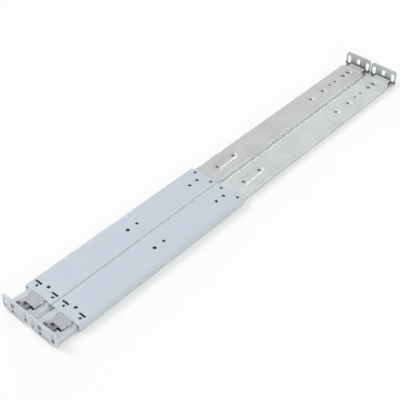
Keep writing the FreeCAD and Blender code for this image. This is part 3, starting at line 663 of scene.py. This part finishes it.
def plated(name, colour, metallic=0.8, rough=0.42, grain=(0.03, 0.0004), grain_depth=0.06, crystal=0.004,
           bloom=0.05, smudge=(0.03, 0.5, 0.24), scratches=0.2, rub=0.5, bump=0.02, rails=None,
           front=(0.05, 0.07), painted_side_light=None, painted_gap_light=None, painted_shade=()):
    """A zinc or steel surface: base colour, drawn grain, bloom, smudges, scratches and rubbed edges.

    rails are the colours behind the front end, painted_side_light makes the upright sides paler as painted
    light (painted_gap_light on the sides between the rails), and each item of painted_shade is how dark
    the painted shade is and the bands it lies in, as an axis, a start, an end and a fade.
    """
    material, w, shader = start_material(name)
    place = w.add("ShaderNodeTexCoord").outputs["Object"]
    if rails:
        left, right = (shaded(rail, 1) for rail in rails)
        colour = w.group(TINT, place, front=shaded(colour, 1), left_rail=left, right_rail=right,
                         front_end=front[0], fade=front[1])["Colour"]
    # Painted light: upright sides are made paler, and more so on the sides between the rails.
    if painted_side_light:
        masks = w.group(SIDE_LIGHT_MASKS, place)
        paler = (*painted_side_light, 1)
        if painted_gap_light:
            paler = w.mix(masks["Outer"], (*painted_gap_light, 1), paler)
        colour = w.vector("MULTIPLY", colour, w.mix(masks["Side"], (1, 1, 1, 1), paler))
    lines = w.group(BRUSH, place, line_length=grain[0], line_width=grain[1])
    zinc = w.group(BLOOM, place, crystal_size=crystal)
    marks = w.group(HANDLING, place, smudge_size=smudge[0], smudge_share=smudge[1],
                    scratch_share=scratches)
    edges = w.group(RUB, place)["Mask"]
    tone = w.mix(lines["Shade"], scaled(w, colour, 1 - grain_depth), scaled(w, colour, 1 + grain_depth))
    # Each layer: where it lies, how much of it shows, and how bright it is.
    for mask, share, factor in ((w.spread(zinc["Bloom"], 0.2, 0.8), bloom, 1.35),
                                (marks["Smudge"], smudge[2], 0.72), (marks["Scratch"], 0.35, 1.3),
                                (edges, rub, 1.32)):
        tone = w.mix(w.times(mask, share), tone, scaled(w, colour, factor))
    x, y, z = w.axes(place)
    lengthwise = {"X": place, "Z": w.join(z, y, x)}
    # Painted shade: near-black is laid over each set of bands where shade falls.
    for share, bands in painted_shade:
        for axis, start, end, fade in bands:
            mask = w.group(SHADE_BAND, lengthwise[axis], start=start, end=end, fade=fade)["Mask"]
            share = w.times(mask, share)
        tone = w.mix(share, tone, PAINTED_SHADE_COLOUR)
    roughness = w.spread(lines["Shade"], 0.0, 1.0, rough - 0.06, rough + 0.06)
    dulled = w.plus(roughness, w.times(marks["Smudge"], 0.08))
    height = w.minus(w.plus(lines["Height"], w.times(zinc["Speckle"], 0.8)), marks["Scratch"])
    finish_material(w, shader, tone, metallic, w.minus(dulled, w.times(edges, 0.1)), 0.35, bump, height)
    return material


def moulded(name, colour, rough=0.5):
    """Moulded plastic: a fine spark-eroded texture, a cloudy tone and paler rubbed edges."""
    material, w, shader = start_material(name)
    place = w.add("ShaderNodeTexCoord").outputs["Object"]
    fine = w.noise(place, 1600.0, 2.0)
    cloud = w.spread(w.noise(place, 60.0, 3.0), 0.35, 0.65)
    worn = w.times(w.group(RUB, place)["Mask"], 0.3)
    tone = w.mix(worn, w.mix(cloud, shaded(colour, 0.93), shaded(colour, 1.04)), shaded(colour, 1.2))
    dull = w.spread(fine, 0.3, 0.7, rough - 0.05, rough + 0.08)
    finish_material(w, shader, tone, 0.0, dull, 0.3, 0.02, fine)
    return material


def along(x):
    """A place along the rail, in metres."""
    return rail_front + x * MM


# Bands of painted shade: under the sleeve, latch nose, rear flange corner, sunk hardware.
under_sleeve = [("X", along(sleeve_start + 1), along(bracket_low.x - 4), 0.003)]
hook_end = [("X", along(-1), along(8.5), 0.003)]
flange_corner = [("Z", -0.01, 0.0076, 0.0012),
                 ("X", along(rear_foot_web_end - 2), along(rear_high.x - 1), 0.0006)]
sunk = [("Z", 0.0045, 0.0083, 0.0009)]
MATERIALS = {
    # Painted light makes the sleeve's upright sides paler.
    "blue_zinc": plated(
        "Blue_zinc", (0.555, 0.61, 0.68), metallic=0.5, grain=(0.05, 0.0006), grain_depth=0.02,
        bloom=0.03, smudge=(0.05, 0.35, 0.09), scratches=0.1, painted_side_light=(1.18, 1.16, 1.07)),
    # Painted light on the brackets' sides, strongest between the rails; painted shade under the sleeve and
    # low in the rear flange's corner.
    "zinc_plate": plated(
        "Brushed_zinc", (0.6, 0.62, 0.65), metallic=0.5, rough=0.41, grain=(0.04, 0.0005),
        grain_depth=0.05, bloom=0.08, smudge=(0.035, 0.55, 0.3), scratches=0.35,
        rails=((0.56, 0.565, 0.568), (0.62, 0.645, 0.65)), painted_side_light=(1.2, 1.2, 1.2),
        painted_gap_light=(1.53, 1.53, 1.53), painted_shade=((0.85, under_sleeve), (0.75, flange_corner))),
    # Painted light makes the lever's sides paler; painted shade darkens its nose behind the hook window.
    "latch_zinc": plated(
        "Latch_zinc", (0.44, 0.45, 0.475), metallic=0.7, grain=(0.012, 0.0004), painted_side_light=(1.7, 1.7, 1.7),
        painted_shade=((0.85, hook_end),)),
    # Painted shade: behind its front end the slide steel is much darker, as inside the rails.
    "slide_steel": plated(
        "Slide_steel", (0.5, 0.51, 0.53), rough=0.34, grain=(0.08, 0.0004), grain_depth=0.08,
        rails=((0.2, 0.205, 0.215),) * 2, front=(0.004, 0.006)),
    "cage_steel": plated("Cage_steel", (0.5, 0.46, 0.33), rough=0.36, grain=(0.02, 0.0004)),
    "ball_steel": plated(
        "Ball_steel", (0.72, 0.72, 0.74), metallic=1.0, rough=0.14, grain_depth=0.02, bloom=0.0,
        rub=0.0, bump=0.004),
    "spring_steel": plated(
        "Spring_steel", (0.24, 0.25, 0.28), metallic=0.95, rough=0.34, grain=(0.006, 0.0002)),
    # Painted shade on what is sunk low: screw heads and rivet bores.
    "hardware": plated(
        "Fastener_zinc", (0.54, 0.545, 0.555), rough=0.34, grain=(0.002, 0.0003), crystal=0.001,
        painted_shade=((0.88, sunk),)),
    "nylon": moulded("Nylon", (0.78, 0.76, 0.70)),
    "release_plastic": moulded("Release_plastic", (0.05, 0.12, 0.28), 0.42),
}
SLOT_OF = {part["node"]: part["material_slot"] for part in frame["record"]["subparts"]}


# ---- setting pieces out ----
def set_out(name, mesh, node, turns_with=None):
    """Puts a piece drawn on one rail on both, in place of the CAD node of each.

    With turns_with, the piece is left unattached to any body of its rail, with its place baked in.
    """
    for side, sign in SIDES.items():
        cad_name = f"{side}_{node}"
        y = rail_pitch / 2 * sign
        placed = mesh.copy()
        placed.transform(Matrix.Translation((rail_front, y * MM, 0)) @ Matrix.Scale(MM, 4))
        placed.materials.clear()
        placed.materials.append(MATERIALS[SLOT_OF[cad_name]])
        placed.name = f"{name}_{side}"
        ob = linked(f"{name}_{side}", placed)
        body = nodes[cad_name]["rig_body"]
        if turns_with:
            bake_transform(ob)
        else:
            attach(ob, body)
        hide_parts(cad_name)


# ---- sleeve ----
def draw_sleeve():
    hem_radius = (sleeve_sheet + hem_gap) / 2
    wall = sleeve_half - sleeve_sheet / 2
    hem = wall - 2 * hem_radius
    low, top = sleeve_low.z + sleeve_sheet / 2, sleeve_top - sleeve_sheet / 2
    mesh = channel([(hem, hem_height), (hem, low), (wall, low), (wall, top)], sleeve_sheet,
                   [hem_radius, hem_radius, sleeve_bend, sleeve_bend, hem_radius, hem_radius],
                   sleeve_start, sleeve_end)
    through = sleeve_top - sleeve_sheet - over, sleeve_top + over
    half = hook_slot_size[1] / 2
    hook_slots = [post(rounded(hook_tab_x, hook_tab_x + hook_slot_size[0], y - half, y + half,
                               hook_slot_corner), *through) for y in hook_slot_ys]
    return eased(cut(mesh, *holes(race_rivets, race_rivet_radius, *through),
                     *holes(eyelets, eyelet_radius, *through),
                     *[hole(*each, *through) for each in sleeve_holes], *hook_slots))


# ---- fixed bracket ----
def ear(y0):
    """Upright ear with a round top about the hinge line."""
    ring = [(pivot_x + ear_reach, ear_root), *arc(pivot_x, pivot_z, ear_reach, 0, math.pi, 16),
            (pivot_x - ear_reach, ear_root)]
    return crossbar(ring, y0, y0 + ear_sheet)


def hook_ways(inner, outer, z0, z1):
    """The openings behind the hook tabs, each from its inner to its outer edge."""
    x0 = hook_tab_x + bracket_sheet
    return [post(rounded(x0, x0 + hook_way_length, *span, small_corner), z0, z1)
            for span in ((inner, outer), (-outer, -inner))]


def draw_fixed_bracket():
    web = channel([(bracket_wall, fixed_low.z), (bracket_wall, bracket_middle)], bracket_sheet,
                  [fixed_bend] * 2, fixed_low.x, fixed_high.x)
    through = bracket_under - over, bracket_top + over
    window = rounded(*window_xs, lever_right - part_gap, lever_left + part_gap, window_round)
    web = cut(web, post(window, *through), *holes(race_rivets[:1], shoulder_radius, *through),
              *holes(eyelets, eyelet_radius, *through),
              *holes(flange_rivets, flange_rivet_radius, *through), *hook_ways(*hook_way_ys, *through))
    raised = [ear(lever_left + part_gap), ear(lever_right - part_gap - ear_sheet)]
    reach = hook_slot_size[1] / 2 - hook_slot_corner
    for y in hook_slot_ys:
        ring = rounded(y - reach, y + reach, ear_root, hook_tab_top, small_corner)
        raised.append(bar(ring, hook_tab_x, hook_tab_x + bracket_sheet))
    return joined(eased(web), eased(solid(*raised)))


# ---- flanges ----
def flange_plate(x0, low, high, window_y, window_width):
    """The upright plate at x0 with its rack slots and its window."""
    body = solid(bar(arch(flange_high.y, low.z, high.z, plate_corner, 12), x0, x0 + plate))
    openings = [(y, slot_width, slot_span, slot_width / 2 - 0.001) for y in slot_ys]
    openings.append((window_y, window_width, hook_window_span, window_corner))
    rings = [rounded(y - width / 2, y + width / 2, *span, corner) for y, width, span, corner in openings]
    return cut(body, *[bar(ring, x0 - over, x0 + plate + over) for ring in rings])


def draw_front_flange():
    half, top, corner = mouth
    ring = [(half, -over), (half, top - corner), (half - corner, top),
            (corner - half, top), (-half, top - corner), (-half, -over)]
    face = flange_plate(0, flange_low, flange_high, hook_window_y, hook_window_width)
    face = cut(face, bar(ring, -over, plate + over))
    foot_half = bracket_half - bracket_bend
    foot_top = bracket_top + foot_sheet
    foot_ring = rounded(plate - 0.5, foot_end, -foot_half, foot_half, foot_corner)
    foot = cut(solid(post(foot_ring, bracket_top, foot_top)),
               *holes(flange_rivets, flange_rivet_radius, 0, flange_high.z))
    bead = [(plate + x, foot_top + z) for x, z in weld]
    reach = hook_window_width / 2 + weld_clear
    beads = solid(crossbar(bead, -foot_half, hook_window_y - reach),
                  crossbar(bead, hook_window_y + reach, foot_half))
    return joined(eased(face), eased(foot), eased(beads, 0.08))


def draw_rear_flange():
    x_plate = rear_high.x - plate
    wall, top = rear_foot_half - rear_foot_sheet / 2, bracket_under - rear_foot_sheet / 2
    foot = channel([(wall, rear_low.z), (wall, top)], rear_foot_sheet, [rear_foot_sheet] * 2,
                   rear_low.x, x_plate + 0.2)
    foot = cut(foot, brick(rear_foot_web_end, x_plate + 3, -far, far, rear_foot_low_top, bracket_top + 3),
               *holes(screws, screw_face + 0.05, bracket_under - 0.8, bracket_top),
               *holes(screws, screw_radius, 0, bracket_top),
               *holes(rear_holes, rear_hole_radius, 0, bracket_top))
    inside = rear_foot_half - 0.3
    shelf = solid(brick(rear_foot_web_end - shelf_tail, x_plate + 0.3, -inside, inside, *shelf_zs))
    face = flange_plate(x_plate, rear_low, rear_high, 0, slot_width)
    return joined(eased(foot), eased(shelf), eased(face))


# ---- sliding bracket ----
def recess():
    """The oblong recess: its sloping side is carried on above the sheet."""
    rings = []
    for more in (-recess_draft, recess_draft * over / recess_depth):
        x, y = recess_length / 2 + more, recess_width / 2 + more
        rings.append(rounded(recess_x - x, recess_x + x, -y, y, y - 0.001, 12))
    return taper(*rings, bracket_top - recess_depth, bracket_top + over)


def dimple():
    grow = (dimple_radius - dimple_floor) / (bracket_sheet - dimple_rest)
    return cone(*dimple_at, dimple_floor, dimple_radius + grow * over,
                bracket_under + dimple_rest, bracket_top + over)


def screw_seat(x, y):
    return cone(x, y, seat_rim - seat_depth * screw_slope, screw_mouth + over * screw_slope,
                bracket_under - seat_depth, bracket_top + over)


def draw_sliding_bracket():
    low = bracket_low.z + bracket_sheet / 2
    mesh = channel([(lip_edge, low), (bracket_wall, low), (bracket_wall, bracket_middle)], bracket_sheet,
                   [bracket_bend] * 4, bracket_low.x, wall_end)
    through = bracket_under - over, bracket_top + over
    x_step = wall_end - tongue_slope
    mesh = cut(mesh, post(rounded(*guide_slot), *through), recess(),
               brick(x_step, wall_end + over, *tongue_ys, *through),
               *[screw_seat(*place) for place in screws], *holes(rear_holes, rear_hole_radius, *through),
               *[hole(*each, *through) for each in sleeve_holes if each[1]])
    mesh = cut(cut(mesh, dimple()), *holes(recess_holes, recess_hole_radius, *through))
    raised = bracket_middle + tongue_lift
    strip = sheet_outline([(x_step, bracket_middle), (x_step + 0.5, bracket_middle),
                           (wall_end, raised), (bracket_high.x, raised)], bracket_sheet, [tongue_bend] * 2)
    return joined(eased(mesh), eased(solid(crossbar(strip, *tongue_ys)), 0.08))


# ---- latch ----
def draw_latch_lever():
    skirt = bracket_top + part_gap
    left, right = lever_left - lever_sheet / 2, lever_right + lever_sheet / 2
    z = lever_top - lever_sheet / 2
    line = [(left, skirt), (left, z), (right, z), (right, skirt)]
    outline = sheet_outline(line, lever_sheet, [lever_bend] * 2)
    across = lever_right - over, lever_left + over
    shell = cut(solid(bar(outline, lever_front, sleeve_start - 0.4)),
                crossbar(circle(pivot_x, pivot_z, pin_radius + 0.05, 24), *across),
                brick(lever_high.x, sleeve_start + over, *across, 0, lever_top - lever_sheet - lever_drop))
    strip = sheet_outline([(nose_front, nose_z), (lever_front - nose_slope, nose_z), (lever_front, z),
                           (lever_front + 2, z)], nose_sheet, [nose_bend] * 2)
    nose = solid(crossbar(strip, *nose_ys), crossbar(barb, *nose_ys))
    lips = solid(*[brick(lever_front, lever_front + lever_sheet, *ys, skirt, lever_top - lever_drop)
                   for ys in lever_lips])
    return joined(eased(shell), eased(nose), eased(lips))


def draw_latch_pin():
    left, right = lever_left + part_gap + ear_sheet, lever_right - part_gap - ear_sheet
    shaft, head = (circle(pivot_x, pivot_z, radius, 24) for radius in (pin_radius, pin_radius + pin_head))
    return eased(solid(crossbar(shaft, right, left), crossbar(head, pin_low.y, right)), 0.15)


# ---- server member ----
def keyhole(x):
    turn = math.asin(keyhole_neck / keyhole_head)
    return (arc(x, 0, keyhole_head, turn, 2 * math.pi - 2 * turn, 36)
            + arc(x + keyhole_run - keyhole_neck, 0, keyhole_neck, -math.pi / 2, math.pi, 16))


def draw_server_member():
    floor = member_low.z
    wall, top = server_wall - server_sheet / 2, server_top - server_sheet / 2
    hat = channel([(server_lip, top), (wall, top), (wall, floor + server_sheet / 2)], server_sheet,
                  [server_bend] * 4, server_start, member_high.x)
    through = floor - over, floor + server_sheet + 0.2
    hat = cut(hat, *holes(server_holes, server_hole_radius, *through),
              *[post(keyhole(x), *through) for x in keyholes], post(rounded(*release_window), *through))
    tab_ring = arch(server_tab_half, floor, server_tab_top, server_tab_corner, 8)
    tab = solid(bar(tab_ring, 0, server_tab_sheet))
    half, depth, corner = tab_notch
    notch = rounded(hook_window_y - half, hook_window_y + half,
                    server_tab_top - depth, server_tab_top + 2, corner)
    return joined(eased(hat), eased(cut(tab, bar(notch, -over, server_tab_sheet + over))))


# ---- repeated parts, by geometry nodes ----
class Growth(Wires):
    """Geometry nodes with named inputs, ending in Realize Instances and Set Material."""

    def __init__(self, name, **values):
        super().__init__(bpy.data.node_groups.new(name, "GeometryNodeTree"))
        face = self.tree.interface
        face.new_socket(name="Places", in_out="INPUT", socket_type="NodeSocketGeometry")
        for key, value in values.items():
            socket = face.new_socket(name=socket_name(key), in_out="INPUT", socket_type="NodeSocketFloat")
            socket.default_value = value
        face.new_socket(name="Parts", in_out="OUTPUT", socket_type="NodeSocketGeometry")
        self.given = self.tree.nodes.new("NodeGroupInput").outputs
        self.result = self.tree.nodes.new("NodeGroupOutput").inputs

    def neg(self, value):
        return self.times(value, -1.0)

    def moved(self, part, label, *place):
        return self.add("GeometryNodeTransform", {"Geometry": part, label: self.join(*place)}).outputs[0]

    def turned(self, low, high, start, end, steps=32):
        """A round solid from one radius to another, standing from one height to another."""
        sockets = {"Vertices": steps, "Radius Bottom": low, "Radius Top": high,
                   "Depth": self.minus(end, start)}
        part = self.add("GeometryNodeMeshCone", sockets)
        return self.moved(part.outputs["Mesh"], "Translation", 0.0, 0.0, start)

    def rim(self, radius, thickness, height):
        """A rolled rim: a ring whose section is round."""
        path, section = (self.add("GeometryNodeCurvePrimitiveCircle", {"Resolution": steps, "Radius": r})
                         for steps, r in ((32, radius), (12, thickness)))
        sockets = {"Curve": path.outputs[0], "Profile Curve": section.outputs[0]}
        swept = self.add("GeometryNodeCurveToMesh", sockets)
        return self.moved(swept.outputs[0], "Translation", 0.0, 0.0, height)

    def less(self, body, cutter):
        sockets = {"Mesh 1": body, "Mesh 2": cutter}
        return self.add("GeometryNodeMeshBoolean", sockets, operation="DIFFERENCE").outputs["Mesh"]

    def finish(self, material, *parts):
        """The parts together, at every place, in one material."""
        whole = self.add("GeometryNodeJoinGeometry")
        for part in parts:
            self.feed(whole.inputs[0], part)
        sockets = {"Points": self.given["Places"], "Instance": whole.outputs[0]}
        copies = self.add("GeometryNodeInstanceOnPoints", sockets)
        real = self.add("GeometryNodeRealizeInstances", {0: copies.outputs[0]})
        sockets = {0: real.outputs[0], "Material": MATERIALS[material]}
        painted = self.add("GeometryNodeSetMaterial", sockets)
        self.feed(self.result["Parts"], painted.outputs[0])
        return self.tree


def grown(tree, places, z, **values):
    """The plain mesh that a tree makes at these places and one height, with its inputs set by name."""
    mesh = bpy.data.meshes.new("places")
    mesh.from_pydata([(x, y, z) for x, y in places], [], [])
    ob = linked("places", mesh)
    modifier = ob.modifiers.new("parts", "NODES")
    modifier.node_group = tree
    for key, value in values.items():
        modifier[tree.interface.items_tree[socket_name(key)].identifier] = float(value)
    return smoothed(settled(ob))


def screw_tree():
    g = Growth("Countersunk_screw", head_radius=3.7, shank_radius=2.0, shank_length=5.0,
               recess_radius=1.5, recess_depth=1.1)
    head, shank, recess = (g.given[part + " radius"] for part in ("Head", "Shank", "Recess"))
    neck = g.neg(g.minus(head, shank))
    drive = g.turned(g.times(recess, 0.8), recess, g.neg(g.given["Recess depth"]), 0.3, 6)
    return g.finish("hardware", g.less(g.turned(shank, head, neck, 0.0), drive),
                    g.turned(shank, shank, g.neg(g.given["Shank length"]), neck))


def hollow_rivet_tree():
    g = Growth("Hollow_rivet", radius=2.1, bore=1.65, depth=2.6, roll=0.22)
    radius, bore, depth, roll = (g.given[label] for label in ("Radius", "Bore", "Depth", "Roll"))
    low, brow = g.neg(depth), g.neg(roll)
    body = g.less(g.turned(radius, radius, low, brow), g.turned(bore, bore, g.plus(low, 0.4), 1.0))
    return g.finish("hardware", body, g.rim(g.minus(radius, roll), roll, brow))


def shoulder_rivet_tree():
    g = Growth("Shouldered_rivet", head_radius=2.5, shoulder_radius=3.2, shank_radius=1.8, bore=2.05,
               bore_depth=2.6, sheet=1.2, shoulder_height=1.6, shank_height=1.1, roll=0.22)
    head, shoulder, shank = (g.given[part + " radius"] for part in ("Head", "Shoulder", "Shank"))
    bore, roll = g.given["Bore"], g.given["Roll"]
    under, brow = g.neg(g.given["Sheet"]), g.neg(roll)
    waist = g.minus(under, g.given["Shoulder height"])
    foot = g.minus(waist, g.given["Shank height"])
    core = g.turned(bore, bore, g.neg(g.given["Bore depth"]), 1.0)
    return g.finish("hardware", g.less(g.turned(head, head, under, brow), core),
                    g.less(g.turned(shoulder, shoulder, waist, under), core),
                    g.rim(g.minus(head, roll), roll, brow), g.turned(shank, shank, foot, waist))


def dome_rivet_tree():
    g = Growth("Dome_rivet", head_radius=2.6, head_height=0.9, shank_radius=1.5, grip=2.7)
    radius, shank = g.given["Head radius"], g.given["Shank radius"]
    ball = g.add("GeometryNodeMeshUVSphere", {"Segments": 32, "Rings": 16, "Radius": 1.0})
    dome = g.moved(ball.outputs[0], "Scale", radius, radius, g.given["Head height"])
    block = g.add("GeometryNodeMeshCube", {"Size": (12, 12, 6)})
    below = g.moved(block.outputs[0], "Translation", 0.0, 0.0, -3.0)
    return g.finish("hardware", g.less(dome, below),
                    g.turned(shank, shank, g.neg(g.given["Grip"]), 0.0))


def ball_tree():
    g = Growth("Bearing_ball", radius=1.5)
    ball = g.add("GeometryNodeMeshUVSphere", {"Segments": 28, "Rings": 16, "Radius": g.given["Radius"]})
    return g.finish("ball_steel", ball.outputs[0])


# ---- pieces that keep the CAD shape ----
def softened(node, width, *cuts):
    """A CAD node's own shape with its edges eased and openings cut, on one rail, in millimetres."""
    mesh = nodes[f"left_{node}"].data.copy()
    mesh.transform(Matrix.Scale(1 / MM, 4) @ Matrix.Translation((-rail_front, -rail_pitch / 2 * MM, 0)))
    return eased(cut(mesh, *cuts) if cuts else mesh, width, bevel_angle)


def race_openings():
    """Holes in the race under those of the sleeve and the bracket."""
    through = race_floor, bracket_under
    return [*[hole(x, y, radius + 0.3, *through) for x, y, radius in sleeve_holes if abs(y) < 12],
            *hook_ways(hook_way_ys[0] + 0.5, race_reach, *through)]


# ---- every piece ----
set_out("sleeve", draw_sleeve(), "front_sleeve")
set_out("fixed_bracket", draw_fixed_bracket(), "front_bracket")
set_out("front_plate", draw_front_flange(), "front_flange")
set_out("sliding_bracket", draw_sliding_bracket(), "rear_bracket")
set_out("rear_plate", draw_rear_flange(), "rear_flange")
set_out("latch", draw_latch_lever(), "latch_lever")
set_out("hinge_pin", draw_latch_pin(), "latch_pin")
set_out("server_slide", draw_server_member(), "server_member")

rim_top = sleeve_top - rivet_sink
set_out("rear_screws", grown(screw_tree(), screws, bracket_top - screw_sink, head_radius=screw_face,
                             recess_radius=1.6, recess_depth=0.9, shank_length=screw_length),
        "rear_screws")
set_out("sleeve_rivets", grown(hollow_rivet_tree(), eyelets, rim_top, depth=rim_top - bracket_under),
        "sleeve_rivets")
set_out("race_rivets", grown(shoulder_rivet_tree(), race_rivets, rim_top, sheet=1.1), "race_rivets")
set_out("flange_rivets", grown(dome_rivet_tree(), flange_rivets, bracket_top + foot_sheet),
        "flange_rivets")

ball_radius = (ball_high.z - ball_low.z) / 2
ball_count = 4               # on each side of the middle member
ball_pitch = (ball_high.x - ball_low.x - 2 * ball_radius) / (ball_count - 1)
balls = [(ball_low.x + ball_radius + ball_pitch * i, side * (ball_high.y - ball_radius))
         for i in range(ball_count) for side in (1, -1)]
set_out("bearing_balls", grown(ball_tree(), balls, ball_low.z + ball_radius, radius=ball_radius), "balls")

set_out("outer_race_look", softened("outer_race", 0.12, *race_openings()), "outer_race")
for node, width in (("ball_cage", 0.06), ("middle_member", 0.15), ("race_bumper", 0.5),
                    ("middle_glides", 0.3), ("server_glides", 0.25), ("release_lever", 0.25),
                    ("release_pivot", 0.1), ("release_spring", 0.05)):
    set_out(node + "_look", softened(node, width), node)
set_out("latch_spring_look", softened("latch_spring", 0.05), "latch_spring", "latch")


# ---- stage ----
floor_half = 8.0
floor_white = 0.6            # how far the floor is plain white; the rest takes the shadows


def camera_rays(w):
    """One for rays from the camera, or seen in a shine or through glass."""
    path = w.add("ShaderNodeLightPath").outputs
    seen = w.math("MAXIMUM", path["Is Camera Ray"], path["Is Glossy Ray"])
    return w.math("MAXIMUM", seen, path["Is Transmission Ray"])


def make_floor():
    mesh = bpy.data.meshes.new("floor")
    signs = ((-1, -1), (1, -1), (1, 1), (-1, 1))
    mesh.from_pydata([(x * floor_half, y * floor_half, 0) for x, y in signs], [], [(0, 1, 2, 3)])
    material, w, shader = start_material("Pale_floor")
    for label, value in (("Base Color", (0.99, 0.99, 0.985, 1)), ("Roughness", 0.9),
                         ("Specular IOR Level", 0.0)):
        w.feed(shader.inputs[label], value)
    white = w.add("ShaderNodeEmission", {"Strength": 1.0})
    open_sky = w.add("ShaderNodeAmbientOcclusion", {"Distance": 0.03}, samples=8).outputs["AO"]
    share = w.times(camera_rays(w), w.spread(open_sky, 0.35, 0.95, 0.0, floor_white))
    blend = w.add("ShaderNodeMixShader", {"Fac": share, 1: shader.outputs[0], 2: white.outputs[0]})
    w.feed(material.node_tree.nodes["Material Output"].inputs["Surface"], blend.outputs[0])
    mesh.materials.append(material)
    ob = linked("floor", mesh)
    ob.location.z = -0.0002


def make_world(ambient):
    """White to the camera; as a light it is only as strong as ambient."""
    world = bpy.data.worlds.new("Studio")
    bpy.context.scene.world = world
    world.use_nodes = True
    w = Wires(world.node_tree)
    background = world.node_tree.nodes["Background"]
    w.feed(background.inputs["Color"], (1, 1, 1, 1))
    w.feed(background.inputs["Strength"], w.spread(camera_rays(w), 0.0, 1.0, ambient, 1.0))


def make_lamp(name, towards, strength, softness):
    """Distant light that comes from a direction; softness is its width in degrees."""
    lamp = bpy.data.lights.new(name, "SUN")
    lamp.energy = strength
    lamp.angle = math.radians(softness)
    ob = linked(name, lamp)
    ob.location = Vector(towards) * 2
    ob.rotation_euler = Vector(towards).to_track_quat("Z", "Y").to_euler()


def make_camera():
    """The camera looks down along the rails from beyond the right rail's front end."""
    heading, tilt, roll = math.radians(49.53), math.radians(41.84), math.radians(1.41)
    data = bpy.data.cameras.new("camera")
    data.lens = 76.32
    data.sensor_width = 36
    ob = linked("camera", data)
    turned = Matrix.Rotation(-heading, 4, "Z") @ Matrix.Rotation(math.pi / 2 - tilt, 4, "X")
    ob.matrix_world = (Matrix.Translation((-0.6489, -0.5057, 0.6999)) @ turned
                       @ Matrix.Rotation(roll, 4, "Z"))
    bpy.context.scene.camera = ob


make_camera()
make_floor()
make_world(0.555)
make_lamp("key", (-0.3, 0.745, 0.65), 1.5, 24)
make_lamp("fill", (-0.5, -0.9, 0.5), 0.65, 50)
make_lamp("rim", (0.57, 0.82, 0.12), 0.4, 12)
bpy.context.scene.view_settings.view_transform = "Standard"
